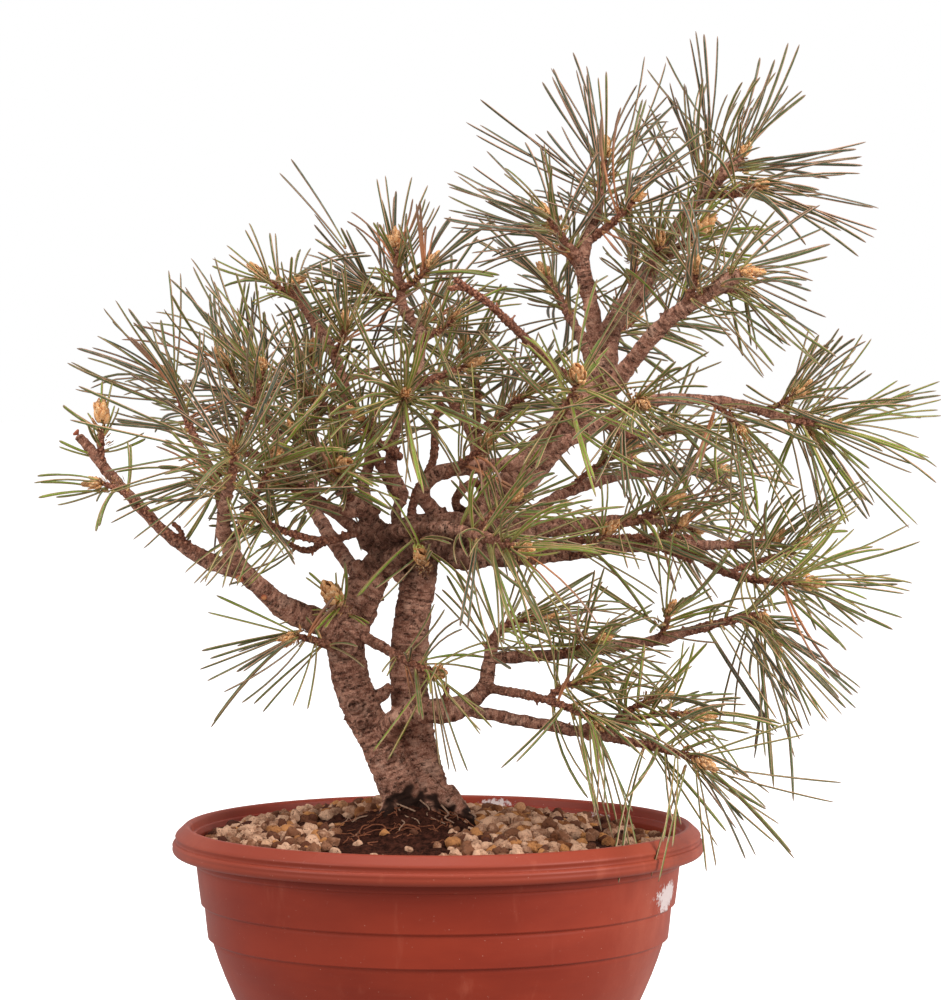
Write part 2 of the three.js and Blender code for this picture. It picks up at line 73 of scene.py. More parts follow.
# Wood: each limb is a list of (x, y, z, radius) along its middle. The first limbs of a branch
# follow its solid in the frame, and the others are twigs that the frame leaves out.
WOOD = {
    "trunks": [
        [(-11, -2, 132, 14), (-16, -3, 152, 12.5), (-29, -4, 183, 11), (-45, -5, 215, 10.5),
         (-52, -5, 243, 10.5), (-49, -4, 258, 11), (-40, -2, 277, 9.5), (-31, 0, 292, 7.5),
         (-22, 4, 303, 6)],
        [(2, 2, 132, 14), (-2, 2, 153, 12), (-10, 3, 180, 11), (-16, 4, 215, 11),
         (-16, 5, 249, 10.5), (-12, 6, 277, 10), (-8, 7, 298, 10), (6, 8, 307, 11),
         (22, 8, 313, 10)],
        [(2, 0, 162, 9), (9, -3, 154, 7.5), (17, -8, 147, 5), (24, -13, 141, 3)],
        [(-18, -4, 164, 9), (-25, -8, 154, 7), (-31, -14, 146, 4.5), (-35, -20, 140, 3)],
        [(-6, -6, 160, 7), (-4, -15, 151, 6), (2, -24, 144, 4)],
        [(-4, 6, 160, 8), (-4, 18, 148, 6), (-2, 28, 140, 4)],
        [(-46, -4, 258, 8), (-56, -10, 268, 6.5), (-59, -13, 274, 4)],
        [(-38, -2, 288, 8), (-24, -5, 299, 9), (-6, -4, 303, 10.5), (10, 2, 305, 10)],
        [(-30, -12, 296, 5), (-18, -20, 300, 4.6), (-6, -20, 308, 4.2), (6, -14, 312, 4)],
        [(4, -4, 300, 6), (16, -12, 294, 5), (30, -12, 297, 4.2), (38, -6, 304, 3.6)],
        [(-34, 2, 300, 5), (-42, -4, 308, 4.4), (-40, -10, 318, 3.6), (-34, -10, 324, 3)],
        [(10, 4, 306, 8), (22, -4, 300, 7), (36, -8, 300, 5), (52, -10, 304, 3.6)],
        [(-44, -3, 266, 7), (-46, 5, 276, 5.5), (-48, 9, 283, 3.6)],
        [(-42, -6, 262, 6), (-38, -13, 266, 4.5), (-37, -15, 270, 3)],
        [(-36, -2, 284, 6), (-43, -8, 289, 4.5), (-46, -11, 293, 3)],
        [(-30, 0, 292, 5.5), (-24, -6, 288, 4.2), (-21, -9, 284, 3)],
        [(-36, -5, 216, 4), (-30, -9, 220, 3.5), (-27, -11, 224, 2.6)],
        [(-49, -9, 262, 4), (-54, -18, 268, 3), (-56, -24, 272, 2.4)],
    ],
    "left_limb": [
        [(-50, -5, 250, 8.3), (-67, -9, 260, 7.4), (-84, -14, 267, 6.9), (-99, -21, 280, 5.2),
         (-111, -29, 294, 4.8), (-118, -40, 311, 4.4), (-117, -55, 328, 3.7), (-112, -72, 346, 2.6),
         (-110, -86, 359, 1.9)],
        [(-108, -25, 288, 3.7), (-131, -18, 295, 3.7), (-154, -10, 311, 3.3), (-169, -3, 326, 3.3),
         (-183, 3, 340, 3), (-193, 6, 352, 3), (-203, 8, 364, 3)],
        [(-113, -31, 292, 3), (-139, -34, 304, 2.6), (-158, -32, 318, 2.2), (-174, -28, 333, 1.9),
         (-186, -22, 338, 1.5)],
        [(-188, 4, 344, 1.9), (-190, 5, 356, 1.9), (-189, 5, 369, 1.5)],
        [(-117, -46, 320, 3), (-127, -22, 346, 2.6), (-140, 4, 370, 2.2), (-150, 24, 393, 1.9)],
        [(-114, -52, 332, 2.6), (-121, -42, 336, 2.2), (-126, -36, 341, 1.9)],
        [(-141, -33, 305, 1.9), (-143, -36, 313, 1.6), (-147, -38, 317, 1.5)],
        [(-124, -28, 340, 2.2), (-111, -24, 366, 1.9), (-101, -28, 388, 1.8), (-97, -30, 402, 1.5)],
        [(-112, -40, 308, 2.5), (-106, -46, 322, 2.1), (-96, -50, 340, 1.8), (-90, -54, 352, 1.5)],
    ],
    "left_low_twig": [
        [(-54, -9, 243, 3), (-66, -16, 249, 2.5), (-78, -24, 253, 1.7)],
    ],
    "crossing_twig": [
        [(-42, -10, 252, 3.2), (-28, -20, 245, 2.8), (-14, -31, 238, 2.4), (-2, -40, 234, 2)],
    ],
    "hub_left_branch": [
        [(-22, 0, 300, 4.9), (-38, -6, 317, 4.5), (-52, -14, 334, 4.2), (-66, -22, 348, 3.5),
         (-78, -30, 364, 2.1)],
        [(-50, -12, 332, 3.5), (-55, 0, 362, 3.5), (-53, 8, 392, 3.1), (-61, 13, 414, 3.1),
         (-72, 15, 431, 3.1), (-83, 14, 449, 2.8)],
        [(-48, -12, 328, 2.4), (-52, -32, 339, 2.1), (-55, -46, 347, 1.8)],
        [(-40, -6, 312, 2.8), (-62, -18, 306, 2.4), (-84, -34, 312, 2.1), (-102, -50, 321, 1.8)],
        [(-76, 15, 438, 2.1), (-88, 11, 446, 1.8), (-97, 8, 452, 1.5)],
        [(-59, 12, 408, 2.1), (-54, 2, 418, 1.8), (-52, -6, 426, 1.5)],
        [(-62, -18, 306, 2.1), (-74, -8, 300, 1.8), (-88, -2, 306, 1.7), (-98, 2, 316, 1.5)],
        [(-54, 4, 376, 2.1), (-68, -4, 384, 1.8), (-78, -10, 392, 1.5)],
        [(-30, -4, 308, 4.4), (-46, -8, 312, 3.6), (-60, -4, 322, 3), (-76, 4, 330, 2.6), (-92, 6, 344, 2)],
        [(-44, -10, 322, 3.6), (-58, -16, 324, 3), (-74, -22, 334, 2.6), (-86, -30, 338, 2)],
        [(-36, -4, 314, 4), (-42, 8, 334, 3.4), (-38, 14, 356, 2.8), (-44, 16, 378, 2.2)],
        [(-56, -16, 338, 3), (-66, -10, 352, 2.6), (-70, -4, 368, 2.2), (-66, 0, 382, 1.8)],
    ],
    "left_back_branch": [
        [(-38, 3, 280, 4.8), (-52, 24, 292, 4.4), (-70, 46, 318, 4), (-88, 60, 350, 3.6),
         (-102, 69, 380, 2.8), (-111, 75, 403, 2)],
        [(-74, 49, 324, 3.2), (-72, 78, 338, 2.8), (-64, 104, 350, 2.4), (-58, 122, 356, 2)],
        [(-96, 65, 366, 2.6), (-112, 56, 384, 2.1), (-122, 50, 402, 1.6)],
        [(-82, 56, 340, 2.7), (-80, 42, 368, 2.4), (-74, 36, 392, 2.1), (-72, 34, 410, 1.6)],
        [(-88, 60, 350, 2.4), (-108, 78, 350, 2.1), (-124, 92, 356, 1.6)],
    ],
    "center_branch": [
        [(-14, 6, 304, 5), (-24, 4, 318, 3.7), (-20, 8, 332, 3.3), (-26, 6, 346, 3.2), (-25, 0, 362, 3.1),
         (-19, -2, 382, 3.3), (-11, -1, 404, 3.3), (-10, 2, 422, 3.3), (-19, 5, 434, 3), (-22, 7, 450, 3),
         (-24, 8, 469, 2.2)],
        [(-20, -3, 378, 2.6), (-19, -25, 384, 2.2), (-18, -46, 388, 1.9)],
        [(-11, 2, 414, 2.6), (-9, 30, 424, 2.2), (-8, 57, 430, 1.9)],
        [(-14, 0, 392, 2.6), (4, 5, 399, 2.2), (16, 8, 403, 1.9)],
        [(-20, 6, 438, 2.2), (-30, 14, 443, 1.9), (-41, 20, 446, 1.6)],
        [(-10, 1, 418, 2.2), (2, -6, 424, 1.9), (9, -12, 430, 1.5)],
        [(-21, 2, 352, 2.5), (-34, -14, 362, 2.1), (-42, -26, 374, 1.6)],
        [(-22, 6, 446, 2.1), (-12, 0, 452, 1.8), (-5, -6, 459, 1.5)],
        [(22, 14, 318, 3.4), (28, 22, 344, 2.8), (22, 28, 366, 2.6), (22, 32, 390, 2.4), (14, 34, 412, 2)],
        [(-16, 10, 312, 3), (-13, 20, 330, 2.4), (-3, 24, 350, 2.6), (-2, 26, 372, 2.2), (2, 26, 384, 1.9)],
        [(16, 14, 318, 3.4), (10, 6, 326, 3), (13, -2, 333, 2.8), (20, 6, 338, 2.4), (24, 16, 334, 2)],
        [(23, 26, 358, 2.4), (28, 24, 364, 2.2), (38, 22, 378, 2.2), (52, 26, 388, 1.8)],
        [(-20, 6, 324, 3), (-30, 6, 342, 2.8), (-38, 12, 360, 2.8), (-36, 18, 380, 2.2)],
    ],
    "main_branch": [
        [(18, 8, 310, 11), (41, 5, 334, 10.5), (57, 0, 353, 10), (74, -4, 373, 9.5),
         (91, -4, 399, 9), (97, 4, 424, 6.3), (114, 14, 447, 5.2), (128, 19, 470, 4.5),
         (142, 19, 490, 4), (157, 15, 508, 3.8), (171, 11, 521, 3.1)],
        [(92, -2, 404, 5.4), (86, -10, 436, 4.5), (81, -13, 466, 4), (90, -7, 494, 3.1),
         (94, -3, 519, 2.3)],
        [(82, -13, 460, 3.1), (70, -20, 474, 2.7), (62, -24, 487, 2.2)],
        [(118, 16, 454, 3.1), (122, 4, 462, 2.7), (124, -6, 470, 2.2)],
        [(138, 19, 484, 2.9), (147, 24, 496, 2.5), (151, 27, 510, 2)],
        [(85, -10, 474, 2.7), (98, -20, 484, 2.3), (109, -26, 496, 1.8)],
        [(124, 18, 464, 2.7), (138, 6, 472, 2.3), (146, -6, 478, 1.8)],
        [(82, -12, 456, 2.7), (72, -2, 468, 2.3), (66, 8, 480, 1.8)],
        [(150, 17, 500, 2.7), (166, 4, 500, 2.3), (178, -4, 504, 1.8)],
        [(100, 6, 430, 2.7), (108, 26, 442, 2.5), (112, 44, 456, 2.2), (112, 56, 470, 1.8)],
    ],
    "upper_front_branch": [
        [(92, -8, 384, 5.5), (112, -26, 411, 4.6), (128, -38, 430, 4.4), (147, -49, 443, 4.2),
         (166, -56, 455, 3.9)],
        [(136, -43, 436, 2.8), (140, -54, 446, 2.4), (142, -61, 455, 2)],
        [(118, -31, 418, 2.8), (128, -22, 428, 2.4), (137, -14, 437, 1.8)],
        [(154, -52, 447, 2.8), (164, -42, 446, 2.4), (172, -34, 446, 1.8)],
    ],
    "upper_inner_branch": [
        [(88, 2, 386, 4.1), (86, 32, 408, 3.8), (76, 58, 430, 3), (63, 89, 453, 2.2)],
        [(88, 8, 392, 3), (66, 4, 402, 2.6), (46, -14, 422, 2.6), (29, -34, 438, 2.2),
         (10, -48, 452, 1.9)],
        [(84, 38, 412, 2.2), (100, 54, 420, 2), (112, 68, 428, 1.7)],
        [(26, -37, 440, 2), (15, -34, 447, 1.7), (6, -34, 447, 1.5)],
    ],
    "loop_branch": [
        [(12, -8, 314, 5.2), (0, -18, 321, 4.4), (-8, -26, 332, 4.2), (-1, -33, 344, 4.2),
         (18, -36, 348, 4.2),
         (41, -34, 350, 4.2), (57, -30, 358, 3.7), (77, -27, 364, 3.7), (93, -28, 373, 3.4),
         (114, -31, 384, 3.4), (147, -25, 385, 3.1), (170, -15, 382, 3.1), (198, -5, 374, 2.7),
         (220, 4, 370, 2)],
        [(60, -30, 360, 2.4), (68, -58, 376, 2), (76, -86, 396, 1.7)],
        [(96, -29, 375, 2.4), (104, -56, 380, 2), (110, -83, 386, 1.7)],
        [(92, -26, 372, 2.6), (108, -8, 365, 2.3), (126, 4, 366, 2), (145, 12, 368, 1.6)],
        [(150, -24, 386, 2), (160, -30, 378, 1.8), (168, -34, 370, 1.5)],
        [(184, -10, 379, 1.9), (194, -18, 384, 1.6), (201, -23, 389, 1.5)],
        [(196, -5, 375, 1.8), (206, 8, 370, 1.6), (212, 18, 366, 1.5)],
        [(4, -34, 343, 2.8), (16, -48, 352, 2.3), (28, -58, 362, 1.8)],
    ],
    "front_branch": [
        [(-27, -2, 305, 4.4), (-21, -25, 312, 4), (1, -44, 315, 3.6), (21, -59, 312, 3.2),
         (35, -72, 308, 2.8), (45, -82, 305, 2)],
        [(-12, -34, 314, 2.4), (-10, -38, 306, 2.1), (-8, -41, 299, 1.8)],
        [(-34, -8, 306, 4), (-20, -18, 314, 4), (-2, -22, 318, 4), (16, -24, 318, 3.6), (32, -30, 314, 3)],
        [(22, -60, 312, 2.6), (30, -56, 322, 2.2), (40, -54, 330, 1.8)],
    ],
    "middle_branch": [
        [(14, 4, 298, 4.8), (34, 0, 294, 4.2), (69, 0, 297, 3.8), (102, 4, 301, 3.5),
         (136, 9, 302, 3.2), (170, 12, 302, 2.9), (188, 14, 303, 2.6)],
        [(140, 8, 301, 2.6), (159, -8, 289, 2.6), (181, -25, 284, 2.2), (201, -37, 284, 1.6)],
        [(110, 5, 302, 1.9), (124, -8, 308, 1.7), (136, -18, 314, 1.5)],
        [(164, -12, 288, 1.9), (176, -4, 292, 1.7), (190, 2, 296, 1.5), (204, 4, 302, 1.5)],
        [(74, 0, 297, 1.9), (84, -12, 302, 1.7), (94, -22, 310, 1.5)],
        [(40, 2, 296, 2.9), (70, 12, 303, 2.6), (110, 16, 306, 2.2), (146, 18, 306, 1.7)],
        [(30, 0, 300, 4.2), (56, -8, 310, 3.4), (84, -14, 312, 3), (112, -18, 318, 2.4),
         (128, -22, 326, 1.8)],
        [(120, 6, 303, 2.6), (132, 16, 298, 2.2), (144, 24, 292, 1.8)],
    ],
    "back_branch": [
        [(22, 12, 308, 4.7), (57, 34, 311, 4), (91, 54, 313, 3.2), (114, 64, 314, 2.9),
         (136, 76, 311, 2.5), (148, 84, 307, 1.8)],
        [(40, 24, 310, 3.6), (66, 56, 326, 3.2), (97, 88, 336, 3.2), (121, 108, 339, 2.9),
         (148, 126, 339, 2.2), (166, 136, 338, 1.8)],
        [(30, 18, 309, 3.2), (26, 42, 340, 3.2), (18, 66, 364, 2.9), (8, 86, 380, 2.5),
         (1, 105, 391, 1.8)],
        [(108, 97, 338, 2.2), (112, 116, 346, 1.9), (114, 134, 354, 1.5)],
        [(19, 64, 362, 2.2), (34, 82, 372, 1.9), (46, 98, 380, 1.5)],
        [(72, 63, 329, 2.2), (88, 66, 342, 1.9), (104, 64, 352, 1.5)],
    ],
    "lower_limb": [
        [(-30, -8, 198, 8), (-20, -22, 207, 7), (-7, -27, 211, 7), (7, -28, 212, 7),
         (18, -27, 217, 4.9), (26, -26, 225, 4.5), (29, -26, 238, 4.1), (31, -26, 251, 3),
         (40, -28, 260, 2.2), (55, -31, 264, 1.9)],
        [(28, -27, 224, 3), (50, -46, 222, 2.6), (69, -63, 218, 2.2), (84, -76, 212, 1.9)],
        [(4, -30, 215, 3), (5, -33, 222, 2), (4, -35, 227, 1.7)],
        [(60, -55, 220, 2.1), (70, -58, 228, 1.8), (82, -60, 232, 1.5)],
    ],
    "lower_upper_branch": [
        [(29, -26, 240, 3.6), (52, -25, 242, 3.3), (80, -22, 244, 3.3), (102, -21, 248, 3.3),
         (125, -22, 251, 3), (147, -26, 258, 2.6), (178, -34, 266, 2.3)],
        [(123, -22, 251, 2), (127, -24, 258, 1.7), (129, -25, 266, 1.5)],
        [(168, -31, 263, 2), (178, -24, 259, 1.7), (188, -20, 252, 1.5)],
        [(64, -24, 243, 1.7), (76, -34, 247, 1.5), (88, -42, 252, 1.5)],
    ],
    "lower_front_branch": [
        [(12, -28, 213, 3.8), (35, -36, 209, 3.5), (57, -44, 206, 3.5), (74, -50, 203, 3.1),
         (93, -56, 200, 2.8), (116, -66, 196, 2.4), (142, -79, 191, 1.8)],
        [(92, -56, 201, 2.4), (103, -58, 213, 2.1), (120, -62, 222, 1.8)],
        [(96, -57, 206, 2.1), (118, -58, 212, 1.8), (142, -62, 213, 1.5)],
        [(80, -52, 203, 2.8), (84, -62, 206, 2.8), (88, -72, 208, 2.1)],
    ],
}

# Shoots: under the solid that each cluster of needles stands for, its shoots as
# (tip, way it points, needle length, pairs of needles, greenness from 0 dark to 1 fresh).
SHOOTS = {
    "outer_left_tuft": [((-189, 5, 371), (-0.1, 0, 1), 26, 12, 0.9)],
    "outer_left_low_tuft": [((-188, -21, 338), (-1, 0, 0), 40, 5, 0.6)],
    "left_high_tuft": [
        ((-151, 26, 396), (-0.6, 0, 0.6), 62, 34, 0.3),
        ((-97, -30, 403), (-0.5, -0.3, 0.9), 60, 26, 0.35),
    ],
    "left_front_tuft": [((-110, -87, 361), (-0.1, -0.9, 0.3), 64, 34, 0.45)],
    "left_mid_tuft": [
        ((-127, -35, 343), (-0.7, -0.2, -0.3), 52, 20, 0.5),
        ((-90, -54, 353), (0.3, -0.5, 0.5), 54, 20, 0.6),
    ],
    "left_back_tuft": [
        ((-112, 76, 406), (-0.3, 0.3, 0.9), 62, 34, 0.25),
        ((-122, 50, 403), (-0.5, 0.1, 0.8), 60, 26, 0.3),
        ((-72, 34, 411), (0.1, 0, 1), 54, 24, 0.3),
    ],
    "upper_left_tuft": [
        ((-97, 8, 453), (-0.8, 0, 0.6), 38, 12, 0.6),
        ((-84, 13, 450), (0.7, 0, 0.3), 50, 8, 0.3),
    ],
    "left_inner_tuft": [
        ((-79, -31, 367), (-0.4, -0.2, 0.7), 56, 26, 0.45),
        ((-52, -6, 427), (0, -0.3, 1), 50, 22, 0.4),
        ((-78, -10, 393), (-0.5, -0.2, 0.7), 52, 22, 0.4),
    ],
    "left_inner_front_tuft": [
        ((-55, -47, 349), (0.4, -0.7, 0.2), 52, 26, 0.8),
        ((-66, 0, 383), (0.1, -0.2, 0.9), 46, 16, 0.45),
        ((-87, -31, 339), (-0.7, -0.5, 0.2), 50, 20, 0.5),
    ],
    "left_mid_front_tuft": [
        ((-103, -51, 322), (-0.5, -0.5, -0.3), 48, 18, 0.55),
        ((-98, 2, 317), (-0.5, 0, 0.3), 48, 14, 0.4),
    ],
    "left_low_tuft": [
        ((-80, -25, 253), (-0.9, -0.2, -0.2), 58, 14, 0.45),
        ((-56, -25, 273), (-0.3, -0.6, 0.5), 30, 9, 0.95),
    ],
    "left_far_back_tuft": [
        ((-57, 124, 358), (0.1, 0.9, 0.3), 58, 34, 0.35),
        ((-124, 92, 357), (-0.7, 0.5, 0.3), 56, 26, 0.35),
    ],
    "center_front_tuft": [
        ((-18, -48, 389), (0, -0.8, 0.25), 64, 44, 0.6),
        ((-42, -27, 375), (-0.6, -0.4, 0.5), 54, 22, 0.6),
    ],
    "crown_tuft": [
        ((-24, 8, 471), (0, 0, 1), 40, 20, 0.55),
        ((-41, 20, 447), (-0.9, 0, 0.4), 56, 28, 0.15),
        ((-5, -6, 460), (0.5, -0.1, 0.7), 42, 22, 0.3),
    ],
    "center_back_tuft": [
        ((-8, 59, 431), (0, 0.7, 0.7), 58, 32, 0.35),
        ((9, -12, 431), (0.7, -0.2, 0.5), 44, 14, 0.6),
        ((14, 34, 413), (0.3, 0.3, 0.9), 52, 24, 0.4),
        ((52, 26, 389), (0.8, 0.1, 0.4), 50, 20, 0.5),
        ((17, 8, 404), (0.8, 0.1, 0.3), 46, 18, 0.55),
    ],
    "back_stem_tuft": [
        ((0, 107, 392), (-0.1, 0.8, 0.5), 60, 36, 0.35),
        ((46, 98, 381), (0.5, 0.6, 0.5), 56, 28, 0.35),
    ],
    "crossing_tuft": [((-1, -41, 234), (0.5, -0.75, 0.05), 50, 17, 0.65)],
    "hub_tuft": [
        ((-8, -42, 296), (-0.1, -0.8, 0.5), 40, 9, 0.8),
        ((28, -58, 363), (0.4, -0.7, 0.5), 50, 15, 0.6),
    ],
    "front_tuft": [((46, -83, 304), (0.6, -0.7, 0.1), 66, 42, 0.65)],
    "main_side_tuft": [
        ((94, -3, 521), (0.05, 0, 1), 62, 27, 0.15),
        ((109, -26, 497), (0.5, -0.5, 0.7), 62, 20, 0.1),
    ],
    "main_side_low_tuft": [
        ((61, -24, 488), (-0.8, -0.1, 0.45), 62, 25, 0.15),
        ((66, 8, 481), (-0.6, 0.3, 0.7), 60, 18, 0.15),
    ],
    "top_tuft": [
        ((172, 11, 522), (0.45, 0, 0.8), 66, 28, 0.25),
        ((151, 27, 511), (-0.05, 0.1, 1), 74, 20, 0.1),
        ((178, -4, 505), (0.9, -0.3, 0.1), 62, 13, 0.2),
    ],
    "main_inner_tuft": [
        ((124, -7, 472), (0, -0.5, 0.8), 54, 26, 0.25),
        ((146, -6, 479), (0.5, -0.3, 0.5), 48, 24, 0.95),
        ((112, 56, 471), (0.1, 0.6, 0.8), 58, 28, 0.25),
    ],
    "upper_front_tuft": [
        ((168, -57, 456), (0.85, -0.3, 0.0), 56, 22, 0.4),
        ((142, -61, 456), (0, -0.5, 0.8), 50, 15, 0.35),
        ((172, -34, 446), (0.7, 0.2, -0.4), 46, 12, 0.4),
    ],
    "upper_back_tuft": [
        ((62, 90, 454), (-0.3, 0.6, 0.7), 60, 34, 0.25),
        ((112, 68, 429), (0.5, 0.6, 0.5), 56, 26, 0.3),
        ((137, -14, 438), (0.4, 0.2, 0.6), 46, 18, 0.35),
    ],
    "loop_front_tuft": [((77, -87, 397), (-0.1, -0.75, 0.6), 62, 30, 0.75)],
    "loop_side_tuft": [((111, -84, 386), (0.35, -0.8, -0.35), 66, 32, 0.5)],
    "loop_tip_tuft": [
        ((222, 5, 370), (0.95, 0, 0.1), 64, 20, 0.6),
        ((201, -23, 389), (0.6, -0.3, 0.6), 56, 18, 0.35),
        ((212, 18, 366), (0.7, 0.3, -0.6), 60, 16, 0.45),
        ((168, -34, 370), (0.5, -0.3, -0.8), 60, 18, 0.4),
        ((145, 12, 368), (0.9, 0.1, -0.3), 56, 20, 0.55),
    ],
    "back_right_tuft": [
        ((167, 137, 338), (0.7, 0.5, 0), 54, 28, 0.5),
        ((114, 134, 354), (0.2, 0.8, 0.4), 54, 26, 0.4),
        ((104, 64, 353), (0.5, 0.1, 0.5), 50, 20, 0.45),
    ],
    "middle_tuft": [
        ((190, 15, 304), (0.7, 0.1, 0.6), 50, 22, 0.4),
        ((136, -18, 315), (0.4, -0.4, 0.6), 46, 14, 0.5),
        ((204, 4, 303), (0.8, 0, 0.5), 56, 18, 0.45),
    ],
    "fork_tuft": [
        ((203, -38, 284), (0.95, -0.2, 0), 58, 26, 0.7),
        ((94, -22, 311), (0.5, -0.5, 0.5), 48, 16, 0.6),
        ((129, -23, 327), (0.8, -0.4, 0.4), 52, 20, 0.5),
        ((41, -54, 331), (0.5, -0.5, 0.6), 50, 18, 0.6),
    ],
    "back_middle_tuft": [((149, 85, 306), (0.7, 0.5, 0), 54, 28, 0.45)],
    "lower_upper_tuft": [
        ((180, -35, 266), (0.5, -0.3, -0.7), 68, 22, 0.4),
        ((188, -20, 251), (0.4, 0, -0.9), 70, 20, 0.35),
    ],
    "lower_inner_tuft": [
        ((57, -32, 265), (0.85, -0.2, 0.05), 62, 34, 0.55),
        ((129, -25, 267), (0.5, -0.1, 0.8), 50, 16, 0.6),
        ((88, -42, 253), (0.8, -0.4, 0.1), 56, 24, 0.55),
    ],
    "lower_front_tuft": [((143, -80, 190), (0.75, -0.4, -0.4), 62, 24, 0.55)],
    "lower_side_tuft": [
        ((122, -62, 223), (0.9, -0.2, 0.2), 50, 20, 0.6),
        ((142, -62, 213), (0.95, -0.2, -0.1), 50, 14, 0.6),
        ((82, -60, 233), (0.6, -0.3, 0.5), 52, 22, 0.5),
    ],
    "lower_bud_tuft": [((87, -77, 211), (0.4, -0.7, -0.5), 62, 20, 0.6)],
}

# Single pairs that stand well out of their tuft, as (foot, tip, greenness).
LONE = {
    "outer_left_low_tuft": [
        ((-184, -20, 334), (-224, -24, 335), 0.9),
        ((-184, -20, 336), (-214, -14, 328), 0.7),
    ],
    "left_high_tuft": [
        ((-142, 20, 388), (-194, 16, 416), 0.2), ((-143, 22, 390), (-180, 20, 432), 0.2),
        ((-140, 18, 384), (-205, 8, 396), 0.3), ((-100, -26, 396), (-144, -20, 459), 0.2),
        ((-98, -24, 400), (-131, -22, 463), 0.3),
    ],
    "left_front_tuft": [
        ((-112, -70, 356), (-198, -66, 384), 0.4),
        ((-110, -74, 358), (-180, -80, 342), 0.5),
    ],
    "upper_left_tuft": [((-52, 4, 470), (-86, 2, 516), 0.1)],
    "crown_tuft": [
        ((-24, 8, 462), (-32, 8, 509), 0.3), ((-22, 7, 462), (-10, 10, 508), 0.4),
        ((-36, 14, 446), (-70, 10, 486), 0.1), ((-24, 8, 458), (-1, 2, 496), 0.3),
    ],
    "left_low_tuft": [((-78, -22, 255), (-132, -30, 231), 0.4), ((-76, -22, 256), (-130, -18, 242), 0.4)],
    "main_side_tuft": [
        ((92, -2, 512), (80, -6, 572), 0.15), ((93, -3, 514), (62, 2, 563), 0.1),
        ((90, -2, 504), (20, -10, 546), 0.1), ((90, -3, 500), (21, -14, 536), 0.15),
        ((98, -8, 508), (122, -12, 576), 0.2), ((96, -4, 510), (134, 4, 556), 0.15),
    ],
    "main_side_low_tuft": [
        ((66, -20, 482), (9, -18, 508), 0.2), ((66, -20, 478), (6, -12, 486), 0.2),
        ((64, -22, 484), (22, -34, 520), 0.1),
    ],
    "top_tuft": [
        ((152, 20, 526), (151, 6, 593), 0.1), ((154, 20, 526), (146, 16, 588), 0.1),
        ((166, 12, 524), (186, 10, 578), 0.2), ((170, 11, 524), (205, 14, 556), 0.3),
        ((172, 8, 514), (240, -2, 525), 0.15), ((172, 6, 508), (248, -8, 483), 0.1),
        ((170, 8, 506), (246, -2, 486), 0.1), ((164, 14, 524), (122, 20, 576), 0.2),
        ((172, 8, 512), (232, 6, 518), 0.2),
    ],
    "upper_front_tuft": [
        ((160, -52, 458), (215, -48, 476), 0.2), ((160, -52, 456), (216, -58, 468), 0.3),
        ((162, -50, 452), (198, -50, 427), 0.3), ((150, -46, 444), (195, -44, 413), 0.35),
    ],
    "loop_tip_tuft": [
        ((196, -8, 376), (211, -12, 424), 0.3), ((206, -2, 374), (243, -4, 401), 0.2),
        ((222, 4, 370), (284, 2, 390), 1.0), ((222, 4, 369), (283, 6, 377), 1.0),
        ((216, 4, 368), (269, 6, 345), 0.4), ((222, 4, 371), (262, -6, 393), 1.0),
    ],
    "fork_tuft": [
        ((198, -36, 290), (266, -40, 312), 0.6), ((202, -37, 285), (261, -36, 281), 0.5),
        ((196, -34, 280), (232, -40, 249), 0.5),
    ],
    "lower_upper_tuft": [((180, -34, 250), (203, -30, 198), 0.4), ((178, -34, 252), (190, -44, 186), 0.4)],
    "lower_front_tuft": [
        ((144, -78, 186), (220, -84, 172), 0.5), ((142, -79, 184), (150, -84, 129), 0.4),
        ((136, -76, 186), (119, -92, 127), 0.6), ((140, -79, 186), (186, -88, 150), 0.5),
    ],
    "lower_bud_tuft": [((86, -76, 204), (103, -84, 158), 0.5), ((84, -76, 206), (90, -92, 160), 0.5)],
    "crossing_tuft": [
        ((-2, -40, 232), (14, -48, 178), 0.4), ((-3, -40, 232), (4, -44, 180), 0.5),
        ((-4, -40, 232), (-33, -44, 186), 0.9),
    ],
}

# Wood nodes that a Blender piece of another name stands for.
STANDS_FOR = {"trunks": ("left_trunk", "right_trunk")}

# How far from the bowl's middle the grit reaches, and the peat under it.
GRIT_REACH = 134
PEAT_REACH = 134.6

# Where peat has spilt over the grit, as (x, y, half width, half depth).
PEAT_SPILLS = [(26, 108, 24, 12), (98, 18, 14, 20), (92, -44, 16, 11), (-72, 58, 20, 9), (-58, -2, 18, 12)]

# Old knots on the trunks, as (x, y, z, radius), and fresh cuts as (x, y, z, radius, way it faces).
KNOTS = [(-51, -17, 246, 6.2), (-47, -16, 213, 4.6), (-43, -16, 203, 3.4), (-14, -7, 230, 2.6),
         (-8, -5, 262, 2.6), (-26, -14, 184, 2.6), (-58, 3, 226, 4.4), (-16, -6, 284, 2.8)]
CUTS = [(-110, -31, 286, 3.0, (-0.5, -0.6, -0.5)), (-97, -24, 275, 2.2, (0.0, -0.8, -0.5)),
        (-204, 8, 365.5, 2.8, (-0.7, 0, 0.7))]

# The gnarled crown where the trunks part, darkened partly as dark bark and partly as painted shade, and the
# lime on the bowl, as (middle, half sizes).
HUB = ((-2, -4, 303), (38, 34, 15))
LIME = ((129, -46, 110), (21, 30, 15))

# Lime stains on the back wall inside the bowl, as (x, z, half width).
LIME_STAINS = [(-72, 139, 22), (34, 141, 30), (96, 137, 18), (-20, 141, 16)]

# The lights, as (name, place, width, power), in metres and watts, and the spot that they face.
LIGHTS = [("top", (-0.1, -0.4, 2.5), 2.4, 37), ("front_right", (2.5, -1.5, 1.25), 1.6, 84),
          ("front_left", (-2.3, -1.5, 1.3), 1.6, 34)]
LIT_SPOT = (0.02, 0, 0.3)

